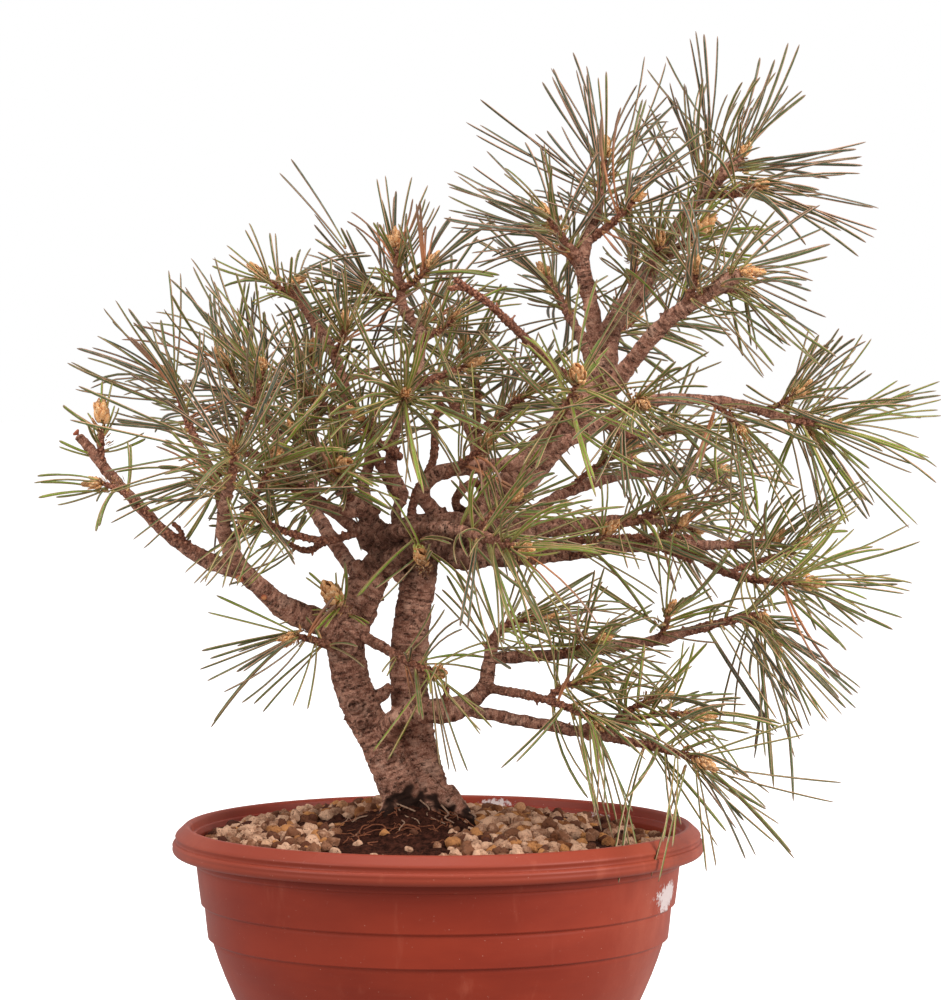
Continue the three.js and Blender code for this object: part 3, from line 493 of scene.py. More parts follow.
# Fine roots that run from the foot of the trunks over the peat, as (x, y, z, radius).
FOOT_ROOTS = [
    [(-24, -13, 158, 0.55), (-17, -19, 156, 0.5), (-9, -23, 153, 0.45), (-2, -29, 151, 0.4),
     (4, -34, 149, 0.3)],
    [(-22, -16, 155, 0.5), (-18, -24, 152, 0.45), (-12, -31, 151, 0.35), (-10, -39, 149.5, 0.25)],
    [(2, -14, 157, 0.6), (6, -21, 153, 0.5), (4, -27, 151.5, 0.4), (9, -34, 149.5, 0.3)],
    [(16, -8, 153, 0.5), (21, -14, 151, 0.45), (21, -21, 150, 0.35), (25, -28, 148.8, 0.25)],
    [(-10, -15, 160, 0.45), (-5, -20, 156, 0.4), (-6, -26, 153, 0.3), (-1, -32, 151, 0.25)],
    [(-30, 0, 152, 0.6), (-37, -6, 150.5, 0.5), (-44, -9, 149.5, 0.4), (-48, -17, 148, 0.3)],
]


# ---------------------------------------------------------------- shader maths

class Wire:
    """A value or colour in a node tree; + - * on it add Math nodes."""

    def __init__(self, shader, socket):
        self.shader = shader
        self.socket = socket

    def _math(self, operation, a, b):
        return self.shader.node("ShaderNodeMath", {"operation": operation}, {0: a, 1: b})[0]

    def __add__(self, other):
        return self._math("ADD", self, other)

    def __radd__(self, other):
        return self._math("ADD", other, self)

    def __sub__(self, other):
        return self._math("SUBTRACT", self, other)

    def __rsub__(self, other):
        return self._math("SUBTRACT", other, self)

    def __mul__(self, other):
        return self._math("MULTIPLY", self, other)


class Shader:
    """A material being wired up round one Principled surface."""

    def __init__(self, name, **fixed):
        self.material = bpy.data.materials.new(f"{name}_finish")
        self.material.use_nodes = True
        self.tree = self.material.node_tree
        self.surface = self.tree.nodes["Principled BSDF"]
        for socket, value in fixed.items():
            self.surface.inputs[socket.replace("_", " ")].default_value = value

    def node(self, kind, settings=None, values=None):
        """Adds a node: its settings first, then the values or links of its sockets."""
        made = self.tree.nodes.new(kind)
        for key, value in (settings or {}).items():
            setattr(made, key, value)
        for key, value in (values or {}).items():
            self.feed(made.inputs[key], value)
        return [Wire(self, out) for out in made.outputs]

    def feed(self, socket, value):
        """Links a wire to a socket, or sets the socket to a plain value."""
        if isinstance(value, Wire):
            self.tree.links.new(value.socket, socket)
        else:
            socket.default_value = value

    def drive(self, name, value):
        self.feed(self.surface.inputs[name], value)

    def place(self):
        """Where a point is on the object, in metres."""
        return self.node("ShaderNodeTexCoord")[3]

    def layer(self, name):
        """A layer kept on the mesh: its vector and its value."""
        wires = self.node("ShaderNodeAttribute", {"attribute_type": "GEOMETRY", "attribute_name": name})
        return wires[1], wires[2]

    def stretch(self, vector, scale):
        return self.node("ShaderNodeMapping", {}, {"Vector": vector, "Scale": scale})[0]

    def clouds(self, vector, scale, detail=3.0, rough=0.55, warp=0.0):
        values = {"Vector": vector, "Scale": scale, "Detail": detail, "Roughness": rough,
                  "Distortion": warp}
        return self.node("ShaderNodeTexNoise", {}, values)[0]

    def cells(self, vector, scale):
        """How far a point is from the middle of its cell."""
        return self.node("ShaderNodeTexVoronoi", {}, {"Vector": vector, "Scale": scale})[0]

    def step(self, value, low, high, to_low=0.0, to_high=1.0):
        """The value eased from low to high onto the range from to_low to to_high."""
        values = {"Value": value, 1: low, 2: high, 3: to_low, 4: to_high}
        return self.node("ShaderNodeMapRange", {"interpolation_type": "SMOOTHSTEP"}, values)[0]

    def line(self, value, centre, width):
        """1 where the value is at the centre, falling to 0 at the width."""
        return 1 - self.step(self._absolute(value - centre), 0.0, width)

    def _absolute(self, value):
        return self.node("ShaderNodeMath", {"operation": "ABSOLUTE"}, {0: value})[0]

    def blend(self, amount, first, second):
        """A colour between two others."""
        values = {0: amount, 6: colour(first), 7: colour(second)}
        return self.node("ShaderNodeMix", {"data_type": "RGBA"}, values)[2]

    def relief(self, height, distance, strength=1.0):
        values = {"Height": height, "Distance": distance, "Strength": strength}
        self.drive("Normal", self.node("ShaderNodeBump", {}, values)[0])


def colour(value):
    """A wire as it is, or an (r, g, b) setting with its alpha."""
    return value if isinstance(value, Wire) else (*value[:3], 1.0)


# ---------------------------------------------------------------- materials

def bark_material(settings):
    """Grey-brown cross-cracked bark on old wood, red-brown and knobbly on young twigs."""
    shader = Shader("bark", Roughness=0.85, Specular_IOR_Level=0.15)
    grain, _ = shader.layer("grain")
    _, age = shader.layer("age")
    _, hollow = shader.layer("hollow")
    _, crest = shader.layer("crest")
    _, soil = shader.layer("soil")
    _, hub_shade_and_dark_bark = shader.layer("hub_shade_and_dark_bark")
    rings = shader.clouds(shader.stretch(grain, (0.3, 0.3, 1.0)), 760, 7.0, 0.74, 0.3)
    seams = shader.clouds(shader.stretch(grain, (0.16, 0.16, 1.0)), 340, 3.0, 0.6, 0.3)
    patches = shader.clouds(shader.place(), 90, 4.0, 0.6)
    fine = shader.clouds(shader.place(), 1100, 4.0, 0.75)
    crack = shader.line(seams, 0.5, 0.05) * shader.step(rings, 0.4, 0.55)
    ridge = shader.step(rings * 0.6 + crest * 0.2 + fine * 0.2, 0.3, 0.7)
    old = shader.blend(ridge, settings.bark_dark, settings.bark_light)
    old = shader.blend(shader.step(patches, 0.52, 0.68, 0, 0.45), old, settings.bark_grey)
    old = shader.blend(shader.step(patches, 0.32, 0.45, 0.3, 0), old, settings.bark_dark)
    knobs = shader.step(crest * 0.6 + rings, 0.4, 0.95)
    young = shader.blend(knobs, settings.twig_dark, settings.twig_light)
    tone = shader.blend(age, young, old)
    tone = shader.blend(crack * age * 0.95, tone, settings.bark_crack)
    tone = shader.blend(shader.step(fine, 0.54, 0.66, 0, 0.55), tone, settings.bark_grey)
    tone = shader.blend(shader.step(fine, 0.34, 0.46, 0.6, 0), tone, settings.bark_crack)
    tone = shader.blend(hollow * 0.9, tone, settings.bark_crack)
    # Painted shade, with some dark bark, darkens the crowded crown where the trunks part.
    tone = shader.blend(hub_shade_and_dark_bark * shader.step(patches, 0.3, 0.6, 0.9, 0.45), tone, settings.bark_crack)
    # Wet peat stains the foot of the trunks; its higher reach in front is painted shadow.
    tone = shader.blend(shader.step(soil + fine * 0.4 + rings * 0.3, 0.55, 1.15), tone, settings.soil_stain)
    shader.drive("Base Color", tone)
    shader.relief(rings * 0.6 + fine * 0.6 - crack * 0.7, 0.0009, 0.9)
    return shader.material


def needle_material(settings):
    """Waxy grey-green with browner edges, fresher at the foot, brown at the tip; some dead needles."""
    shader = Shader("needle", Specular_IOR_Level=0.4)
    _, along = shader.layer("along")
    _, edge = shader.layer("edge")
    _, tone = shader.layer("tone")
    _, dead = shader.layer("dead")
    streak = shader.clouds(shader.place(), 240, 3.0)
    green = shader.blend(shader.step(tone, 0.05, 0.5), settings.needle_dark, settings.needle_mid)
    green = shader.blend(shader.step(tone, 0.5, 1.0), green, settings.needle_fresh)
    green = shader.blend(shader.step(streak, 0.48, 0.7, 0, 0.3), green, settings.needle_pale)
    green = shader.blend(shader.step(edge, 0.36, 0.95, 0, 0.85), green, settings.needle_edge)
    green = shader.blend(shader.step(along, 0.02, 0.3, 0.7, 0), green, settings.needle_foot)
    green = shader.blend(shader.step(along, 0.93, 1.0, 0, 0.85), green, settings.needle_tip)
    dry = shader.blend(shader.step(along, 0.2, 0.9), settings.dead_needle, settings.needle_tip)
    shader.drive("Base Color", shader.blend(dead, green, dry))
    shader.drive("Roughness", 0.4 + dead * 0.35 + streak * 0.1)
    return shader.material


def scale_material(settings):
    """Papery bud scales and needle sheaths."""
    shader = Shader("bud_scale", Roughness=0.7, Specular_IOR_Level=0.3)
    _, along = shader.layer("along")
    _, tone = shader.layer("tone")
    flecks = shader.clouds(shader.place(), 900, 3.0)
    brown = shader.blend(shader.step(tone, 0.1, 0.8), settings.scale_dark, settings.scale_tan)
    brown = shader.blend(shader.step(flecks, 0.46, 0.66, 0, 0.75), brown, settings.scale_pale)
    green = shader.blend(shader.step(along, 0.4, 1.0), settings.scale_tan, settings.bud_green)
    shader.drive("Base Color", shader.blend(shader.step(tone, 0.93, 0.97), brown, green))
    return shader.material


def plastic_material(settings):
    """Moulded terracotta-coloured plastic: a paler scuffed rim, fine streaks, specks and lime."""
    shader = Shader("bowl_plastic", Specular_IOR_Level=0.25)
    place = shader.place()
    _, rim = shader.layer("rim")
    _, lime = shader.layer("lime")
    _, haze = shader.layer("haze")
    drift = shader.clouds(shader.stretch(place, (1, 1, 2.4)), 9, 4.0, 0.6)
    streaks = shader.clouds(shader.stretch(place, (0.5, 0.5, 9)), 60, 4.0, 0.6)
    specks = shader.cells(place, 190)
    dust = shader.clouds(place, 420, 5.0, 0.7)
    film = shader.clouds(shader.stretch(place, (1, 1, 0.5)), 42, 6.0, 0.7)
    smears = shader.clouds(shader.stretch(place, (1, 1, 0.16)), 55, 5.0, 0.6)
    tone = shader.blend(shader.step(drift, 0.35, 0.7), settings.bowl_deep, settings.bowl_colour)
    tone = shader.blend(rim * 0.8, tone, settings.rim_colour)
    tone = shader.blend(haze * shader.step(film, 0.3, 0.7, 0.25, 0.6), tone, settings.bowl_haze)
    tone = shader.blend(shader.step(smears, 0.6, 0.75, 0, 0.3), tone, settings.bowl_haze)
    tone = shader.blend(shader.step(streaks, 0.56, 0.8, 0, 0.22), tone, settings.rim_colour)
    tone = shader.blend(shader.step(dust, 0.62, 0.8, 0, 0.25), tone, settings.bowl_pale)
    tone = shader.blend(shader.step(specks, 0.035, 0.06, 0.6, 0), tone, settings.bowl_pale)
    crust = shader.step(lime * 0.7 + film * 0.75 + dust * 0.45, 0.98, 1.06)
    shader.drive("Base Color", shader.blend(crust, tone, settings.lime_colour))
    shader.drive("Roughness", 0.36 + drift * 0.18 + crust * 0.4)
    shader.relief(streaks * 0.15 + dust * 0.12 + crust * 1.2, 0.0004, 0.5)
    return shader.material


def stone_material(settings):
    """Pitted cream pumice and smoother ochre clay grains, each grain painted lit or shaded."""
    shader = Shader("grit", Roughness=0.9, Specular_IOR_Level=0.1)
    place = shader.place()
    _, tone = shader.layer("tone")
    _, shade = shader.layer("shade")
    pits = shader.cells(place, 620)
    stain = shader.clouds(place, 260, 5.0, 0.7)
    fine = shader.clouds(place, 1300, 3.0, 0.7)
    # The most shaded grains take dry peat's colour: partly peat dust, partly painted shade between the
    # grains.
    peat_dust_and_shade = shader.step(shade, 0.08, 0.24, 0.8, 0)
    holes = (1 - shader.step(pits + fine * 0.5, 0.34, 0.56)) * shader.step(stain, 0.42, 0.6)
    # Painted light and shade: the stain noise and each grain's shade value pick the paler lit colour or the
    # darker colour, which is both stained and shaded.
    lit = stain * 0.6 + shade * 0.5
    pumice = shader.blend(shader.step(lit, 0.4, 0.7), settings.pumice_tan, settings.pumice_pale)
    clay = shader.blend(shader.step(lit, 0.35, 0.7), settings.clay_dark, settings.clay_light)
    clay_share = shader.step(tone, 0.70, 0.74)
    body = shader.blend(clay_share, pumice, clay)
    body = shader.blend(shader.step(tone, 0.95, 0.97), body, settings.peat_light)
    body = shader.blend(holes * (1 - clay_share * 0.7) * 0.75, body, settings.pit_colour)
    body = shader.blend(shader.step(fine, 0.3, 0.46, 0.55, 0), body, settings.pit_colour)
    peat_dust_and_shade = peat_dust_and_shade * shader.step(stain, 0.35, 0.6, 1, 0.7)
    shader.drive("Base Color", shader.blend(peat_dust_and_shade, body, settings.peat_light))
    shader.relief(stain * 0.7 + fine * 0.4 - holes, 0.0012, 0.9)
    return shader.material


def peat_material(settings):
    """Dark fibrous peat."""
    shader = Shader("peat", Roughness=0.95, Specular_IOR_Level=0.04)
    place = shader.place()
    crumbs = shader.clouds(place, 330, 6.0, 0.7)
    fibre = shader.clouds(shader.stretch(place, (1, 0.25, 1)), 900, 3.0, 0.6, 1.5)
    tone = shader.blend(shader.step(crumbs, 0.35, 0.7), settings.peat_dark, settings.peat_light)
    tone = shader.blend(shader.step(fibre, 0.62, 0.75, 0, 0.6), tone, settings.fibre_colour)
    shader.drive("Base Color", tone)
    shader.relief(crumbs + fibre * 0.3, 0.0012, 0.9)
    return shader.material


def root_material(settings):
    """Fine surface roots, some brown and some bleached."""
    shader = Shader("root", Roughness=0.85, Specular_IOR_Level=0.12)
    _, tone = shader.layer("tone")
    marks = shader.clouds(shader.place(), 500, 3.0)
    base = shader.blend(tone, settings.fibre_colour, settings.pale_root)
    marks = shader.step(marks, 0.45, 0.7, 0, 0.6)
    shader.drive("Base Color", shader.blend(marks, base, settings.peat_light))
    return shader.material


def cut_material(settings):
    """Fresh cut wood, redder round the edge."""
    shader = Shader("fresh_cut", Roughness=0.55, Specular_IOR_Level=0.45)
    _, along = shader.layer("along")
    rings = shader.clouds(shader.place(), 800, 2.0)
    tone = shader.blend(shader.step(along + rings * 0.3, 0.6, 1.05), settings.cut_heart, settings.cut_edge)
    shader.drive("Base Color", tone)
    return shader.material


# ---------------------------------------------------------------- meshes

def piece(name, points, faces, materials, stands_for=(), layers=None, which=None):
    """Makes an object that moves with the tree, and hides the frame's parts that it stands for."""
    mesh = bpy.data.meshes.new(name)
    mesh.from_pydata(np.asarray(points).tolist(), [], faces)
    for key, values in (layers or {}).items():
        values = np.asarray(values, dtype=np.float32)
        kind = "FLOAT_VECTOR" if values.ndim == 2 else "FLOAT"
        field = "vector" if values.ndim == 2 else "value"
        mesh.attributes.new(key, kind, "POINT").data.foreach_set(field, values.ravel())
    for material in materials:
        mesh.materials.append(material)
    if which is not None:
        mesh.polygons.foreach_set("material_index", np.asarray(which, dtype=np.int32))
    mesh.polygons.foreach_set("use_smooth", [True] * len(mesh.polygons))
    mesh.validate()
    made = bpy.data.objects.new(name, mesh)
    bpy.context.collection.objects.link(made)
    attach(made, BODY)
    if stands_for:
        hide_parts(*stands_for)
    return made


def unit(vectors):
    return vectors / np.maximum(np.linalg.norm(vectors, axis=-1, keepdims=True), 1e-12)


def smooth_path(points, step):
    """Points about a step apart on a smooth curve through the given ones, with every column eased."""
    points = np.asarray(points, dtype=float)
    ends = np.vstack([2 * points[0] - points[1], points, 2 * points[-1] - points[-2]])
    fine = []
    for a, b, c, d in zip(ends, ends[1:], ends[2:], ends[3:]):
        count = max(2, int(round(np.linalg.norm((c - b)[:3]) / step)))
        t = (np.arange(count) / count)[:, None]
        fine.append(0.5 * (2 * b + (c - a) * t + (2 * a - 5 * b + 4 * c - d) * t ** 2
                           + (3 * b - a - 3 * c + d) * t ** 3))
    return np.vstack([*fine, points[-1:]])


def path_frames(spine):
    """Tangent and two cross directions at each point of a path, turned as little as possible."""
    tangents = unit(np.gradient(spine, axis=0))
    aside = np.array([0.0, 1.0, 0.0]) if abs(tangents[0][2]) > 0.8 else np.array([0.0, 0.0, 1.0])
    normal = np.cross(tangents[0], aside)
    normals = []
    for tangent in tangents:
        normal = normal - tangent * np.dot(normal, tangent)
        normal = normal / np.linalg.norm(normal)
        normals.append(normal)
    normals = np.array(normals)
    return tangents, normals, np.cross(tangents, normals)


def tube(spine, radii, sides):
    """A closed tube with rounded ends: its points and its faces."""
    tangents, normals, sidewards = path_frames(spine)
    turn = np.arange(sides) * 2 * np.pi / sides
    ring = normals[:, None] * np.cos(turn)[None, :, None] + sidewards[:, None] * np.sin(turn)[None, :, None]
    points = (spine[:, None] + ring * radii[:, None, None]).reshape(-1, 3)
    start = spine[0] - tangents[0] * radii[0] * 0.5
    end = spine[-1] + tangents[-1] * radii[-1] * 0.5
    points = np.vstack([points, start, end])
    count = len(spine)
    faces = []
    for i in range(count - 1):
        for j in range(sides):
            k = (j + 1) % sides
            faces.append((i * sides + j, i * sides + k, (i + 1) * sides + k, (i + 1) * sides + j))
    for j in range(sides):
        k = (j + 1) % sides
        faces.append((count * sides, k, j))
        faces.append((count * sides + 1, (count - 1) * sides + j, (count - 1) * sides + k))
    return points, faces


def gather(parts):
    """Joins (points, faces) parts into one."""
    points, faces, offset = [], [], 0
    for part_points, part_faces in parts:
        points.append(part_points)
        faces.extend([tuple(int(i) + offset for i in face) for face in part_faces])
        offset += len(part_points)
    return np.vstack(points), faces


# ---------------------------------------------------------------- wood

def stubs(limb, rng, gap):
    """Short snags along a limb, left by twigs and needles that have gone."""
    path = smooth_path(limb, 2.0)
    tangents, normals, sidewards = path_frames(path[:, :3])
    parts = []
    at = rng.uniform(0.3, 1.0) * gap
    while at < 2.0 * (len(path) - 4):
        i = int(at / 2.0)
        turn = rng.uniform(0, 2 * np.pi)
        out = normals[i] * math.cos(turn) + sidewards[i] * math.sin(turn)
        out = out + tangents[i] * rng.uniform(0.2, 1.0)
        radius = path[i, 3]
        foot = path[i, :3] + unit(out) * radius * 0.5
        tip = path[i, :3] + unit(out) * (radius + rng.uniform(1.2, 3.8))
        spine = np.linspace(foot, tip, 4)
        thick = min(radius * 0.5, rng.uniform(1.1, 2.1))
        parts.append(tube(spine, np.linspace(thick, thick * 0.7, 4), 8))
        at += rng.uniform(0.6, 1.5) * gap
    return parts


def welded(points, faces, voxel):
    """One skin round all the parts, from a voxel remesh, evened out."""
    mesh = bpy.data.meshes.new("rough")
    mesh.from_pydata(points.tolist(), [], faces)
    rough = bpy.data.objects.new("rough", mesh)
    bpy.context.collection.objects.link(rough)
    remesh = rough.modifiers.new("skin", "REMESH")
    remesh.mode = "VOXEL"
    remesh.voxel_size = voxel
    seen = rough.evaluated_get(bpy.context.evaluated_depsgraph_get()).to_mesh()
    skin = np.empty(len(seen.vertices) * 3)
    seen.vertices.foreach_get("co", skin)
    edges = np.empty(len(seen.edges) * 2, dtype=np.int32)
    seen.edges.foreach_get("vertices", edges)
    skin, edges = skin.reshape(-1, 3), edges.reshape(-1, 2)
    skin_faces = [tuple(face.vertices) for face in seen.polygons]
    bpy.data.objects.remove(rough)
    bpy.data.meshes.remove(mesh)
    return evened(skin, edges, 3), skin_faces


def evened(points, edges, rounds):
    """Points drawn towards the mean of their neighbours."""
    count = np.bincount(edges.ravel(), minlength=len(points))[:, None]
    for _ in range(rounds):
        total = np.empty_like(points)
        for axis in range(3):
            total[:, axis] = (np.bincount(edges[:, 0], points[edges[:, 1], axis], len(points))
                              + np.bincount(edges[:, 1], points[edges[:, 0], axis], len(points)))
        points = points * 0.5 + 0.5 * total / count
    return points


def skin_normals(points, faces):
    """Unit normals of a closed skin of quads."""
    quads = np.array([face if len(face) == 4 else (*face, face[-1]) for face in faces])
    flat = np.cross(points[quads[:, 2]] - points[quads[:, 0]], points[quads[:, 3]] - points[quads[:, 1]])
    normals = np.zeros_like(points)
    for corner in range(4):
        np.add.at(normals, quads[:, corner], flat)
    return unit(normals)


def along_wood(points, limbs):
    """For each point: how far along its limb it is, the angle round it, and the limb's radius."""
    reach, spines, radii, frames = [], [], [], []
    start = 0.0
    for limb in limbs:
        path = smooth_path(limb, 1.5)
        _, normals, sidewards = path_frames(path[:, :3])
        run = np.concatenate([[0], np.cumsum(np.linalg.norm(np.diff(path[:, :3], axis=0), axis=1))])
        reach.append(start + run)
        spines.append(path[:, :3])
        radii.append(path[:, 3])
        frames.append(np.stack([normals, sidewards], axis=1))
        start += 1000.0
    reach, spines = np.concatenate(reach), np.vstack(spines)
    radii, frames = np.concatenate(radii), np.vstack(frames)
    nearest = np.empty(len(points), dtype=int)
    for low in range(0, len(points), 4000):
        some = points[low:low + 4000]
        gap = np.linalg.norm(some[:, None] - spines[None], axis=2) - radii[None]
        nearest[low:low + 4000] = np.argmin(gap, axis=1)
    away = points - spines[nearest]
    turn = np.arctan2(np.sum(away * frames[nearest, 1], axis=1), np.sum(away * frames[nearest, 0], axis=1))
    return reach[nearest], turn, radii[nearest]


def pegs(run, turn, radius, pitch=0.62):
    """Height of the spiral of needle scars on a young twig."""
    height = np.zeros_like(run)
    nearest = np.round(run / pitch)
    for k in range(-5, 6):
        index = nearest + k
        around = (turn - index * GOLDEN + np.pi) % (2 * np.pi) - np.pi
        far = (around * radius) ** 2 + (run - index * pitch) ** 2
        height = np.maximum(height, np.exp(-far / 0.75))
    return height


def eased(value, low, high):
    t = np.clip((value - low) / (high - low), 0, 1)
    return t * t * (3 - 2 * t)


def bark_skin(points, faces, limbs, lump):
    """Moves a skin out and in as bark, and gives the layers that its material reads."""
    run, turn, radius = along_wood(points, limbs)
    normals = skin_normals(points, faces)
    age = eased(radius, 2.1, 3.5)
    grain = np.stack([radius * np.cos(turn), radius * np.sin(turn), run], axis=1)
    rough, plates, wander = (np.empty(len(points)) for _ in range(3))
    for i, (spot, strand) in enumerate(zip(points, grain)):
        spot = Vector(spot)
        rough[i] = noise.noise(spot / 9.0) * 1.2 + noise.noise(spot / 3.4) * 0.6
        ring = Vector((strand[0] / 5.5, strand[1] / 5.5, strand[2] / 2.3))
        plates[i] = noise.noise(ring) + 0.7 * noise.noise(ring * 1.9)
        wander[i] = noise.noise(spot / 5.0)
    thick = np.clip((radius - 2.5) / 7, 0.12, 1.05)
    bumps = pegs(run + wander * 2.2, turn + wander, radius)
    height = age * (lump * rough + 0.62 * plates * thick)
    height += (1 - age) * (0.85 * bumps - 0.3 + 0.3 * lump * rough)
    crest = age * np.clip(0.5 + plates * 0.8, 0, 1) + (1 - age) * bumps
    hollow = np.zeros(len(points))
    # A knot is a raised ring round a hollow, with finer rings across it.
    for x, y, z, size in KNOTS:
        far = np.linalg.norm(points - np.array([x, y, z]), axis=1) / size
        near = np.exp(-((far - 0.75) / 0.3) ** 2)
        height *= 1 - 0.8 * np.exp(-(far / 0.9) ** 2)
        height += 1.9 * near - 1.4 * np.exp(-(far / 0.4) ** 2) + 0.35 * np.cos(far * 17) * np.exp(-far ** 2)
        hollow = np.maximum(hollow, np.exp(-(far / 0.32) ** 2) + 0.7 * np.exp(-((far - 0.62) / 0.12) ** 2)
                            + 0.7 * np.exp(-((far - 1.15) / 0.15) ** 2))
    middle, reach = np.array(HUB)
    hub = np.exp(-np.sum(((points - middle) / reach) ** 2, axis=1))
    height += hub * (1.5 * rough + 0.8 * plates)
    # The crown's darkening is partly dark bark and partly painted shade among the crowded limbs.
    hub_shade_and_dark_bark = np.clip(hub * (0.85 + 0.7 * wander) + 0.25 * (hub > 0.1), 0, 1)
    # The soil stain climbs higher in front, between the feet of the trunks: that higher part is painted
    # shadow where trunk and soil meet, and below it is wet peat.
    lift = 12 * np.exp(-((points[:, 0] + 15) / 10) ** 2) * (points[:, 1] < 0)
    soil = 1 - eased(points[:, 2] + wander * 12 - lift, 146, 166)
    layers = {"grain": grain * MM, "age": age, "hollow": np.clip(hollow, 0, 1), "crest": crest,
              "soil": soil, "hub_shade_and_dark_bark": hub_shade_and_dark_bark}
    return points + normals * height[:, None], layers


def wood_piece(name, limbs, settings, materials):
    """Wood of one branch: welded limbs with snags, under a skin of bark."""
    rng = np.random.default_rng(sum(map(ord, name)))
    parts = []
    for limb in limbs:
        path = smooth_path(limb, 2.5)
        parts.append(tube(path[:, :3], path[:, 3], 20))
        parts.extend(stubs(limb, rng, settings.snag_gap))
    points, faces = gather(parts)
    voxel = settings.trunk_voxel if name == "trunks" else settings.twig_voxel
    points, faces = welded(points, faces, voxel)
    points, layers = bark_skin(points, faces, limbs, settings.bark_relief)
    nodes = STANDS_FOR.get(name, (name,))
    piece(f"{name}_bark", points * MM, faces, [materials["bark"]], nodes, layers)


# ---------------------------------------------------------------- needles

# Where along a needle its sections are, and how wide each is, as a share of its full width.
SECTIONS = np.array([0.0, 0.06, 0.16, 0.32, 0.5, 0.68, 0.83, 0.94, 0.98, 1.0])
FULLNESS = np.array([0.7, 0.8, 0.95, 1.0, 1.0, 1.0, 0.97, 0.86, 0.6, 0.2])
SCALE_FULLNESS = np.array([0.55, 0.75, 0.95, 1.0, 1.0, 0.9, 0.7, 0.45, 0.25, 0.05])


def blades(base, aim, flat, length, width, depth, bend, droop, twist, fullness):
    """Thin curved blades, flat on one side and round on the other: points, faces, how far along."""
    t = SECTIONS[None, :, None]
    length3 = length[:, None, None]
    aside = unit(np.cross(aim, flat))
    spine = base[:, None] + length3 * (aim[:, None] * t + bend[:, None] * t ** 2)
    spine[:, :, 2] -= length[:, None] * droop[:, None] * SECTIONS[None] ** 2
    tangent = unit(np.gradient(spine, SECTIONS, axis=1))
    angle = twist[:, None, None] * t
    face = flat[:, None] * np.cos(angle) + aside[:, None] * np.sin(angle)
    face = unit(face - tangent * np.sum(face * tangent, axis=2, keepdims=True))
    across = np.cross(tangent, face)
    half = 0.5 * width[:, None, None] * fullness[None, :, None]
    deep = depth[:, None, None] * fullness[None, :, None]
    corners = np.stack([spine + across * half, spine + face * deep, spine - across * half,
                        spine - face * deep * 0.25], axis=2)
    count, sections = len(base), len(SECTIONS)
    first = (np.arange(count) * sections * 4)[:, None, None, None]
    i = (np.arange(sections - 1) * 4)[None, :, None, None]
    j = np.array([[0, 1, 5, 4], [1, 2, 6, 5], [2, 3, 7, 6], [3, 0, 4, 7]])[None, None]
    walls = (first + i + j).reshape(-1, 4)
    last = (sections - 1) * 4
    ends = (first[:, 0, 0] + np.array([[3, 2, 1, 0]])).reshape(-1, 4)
    tips = (first[:, 0, 0] + last + np.array([[0, 1, 2, 3]])).reshape(-1, 4)
    along = np.broadcast_to(SECTIONS[None, :, None], (count, sections, 4)).reshape(-1)
    return corners.reshape(-1, 3), np.vstack([walls, ends, tips]), along


def within(base, aim, length):
    """Needle lengths, cut so that no tip leaves the frame's box."""
    low, high = (np.array(corner) / MM for corner in FRAME_BOX)
    keep = np.ones(len(base))
    for axis in range(3):
        run = aim[:, axis] * length
        wall = np.where(run > 0, high[axis] - 1, low[axis] + 1)
        room = (wall - base[:, axis]) / np.where(np.abs(run) < 1e-6, 1e-6, run)
        keep = np.minimum(keep, np.where(room > 0, room, 1))
    return length * np.clip(keep, 0.25, 1)


# The materials of a cluster of needles, in the order in which its mesh holds them.
NEEDLE, SCALE = 0, 1


class Cluster:
    """The blades of one piece, added a kind at a time."""

    def __init__(self):
        self.points, self.faces, self.which = [], [], []
        self.layers = {"along": [], "edge": [], "tone": [], "dead": []}
        self.count = 0

    def add(self, made, tone, dead, material):
        points, faces, along = made
        per_blade = len(SECTIONS) * 4
        self.points.append(points)
        self.faces.append(faces + self.count)
        self.which.append(np.full(len(faces), material))
        self.layers["along"].append(along)
        self.layers["edge"].append(np.tile([1.0, 0.0, 1.0, 0.0], len(points) // 4))
        self.layers["tone"].append(np.repeat(tone, per_blade))
        self.layers["dead"].append(np.repeat(dead, per_blade))
        self.count += len(points)


def cross_pair(axis):
    """Two directions across an axis."""
    aside = np.array([0.0, 1.0, 0.0]) if abs(axis[2]) > 0.8 else np.array([0.0, 0.0, 1.0])
    one = unit(np.cross(axis, aside))
    return one, np.cross(axis, one)


def pair_up(cluster, rng, foot, aim, spread, length, bend, droop, tone, dead, settings):
    """Two needles from each foot, a little apart, in one papery sheath."""
    count = len(foot)
    part = np.tan(np.radians(rng.uniform(1.5, 6.5, count)))[:, None]
    for side in (-1, 1):
        way = unit(aim + side * spread * part)
        sag = np.zeros((count, 3))
        sag[:, 2] = droop
        own = within(foot, way + bend - sag, length * rng.uniform(0.95, 1.04, count))
        made = blades(foot + side * spread * 0.35, way, side * spread, own,
                      settings.needle_width * rng.uniform(0.88, 1.12, count),
                      np.full(count, settings.needle_depth), bend, droop,
                      rng.normal(0, 0.8, count), FULLNESS)
        cluster.add(made, tone, dead, NEEDLE)
    sheath = blades(foot - aim * 0.8, aim, spread, 5.0 * rng.uniform(0.6, 1.3, count), np.full(count, 2.1),
                    np.full(count, 1.1), np.zeros((count, 3)), np.zeros(count), rng.uniform(-1, 1, count),
                    SCALE_FULLNESS)
    cluster.add(sheath, rng.uniform(0.1, 0.75, count), np.zeros(count), SCALE)


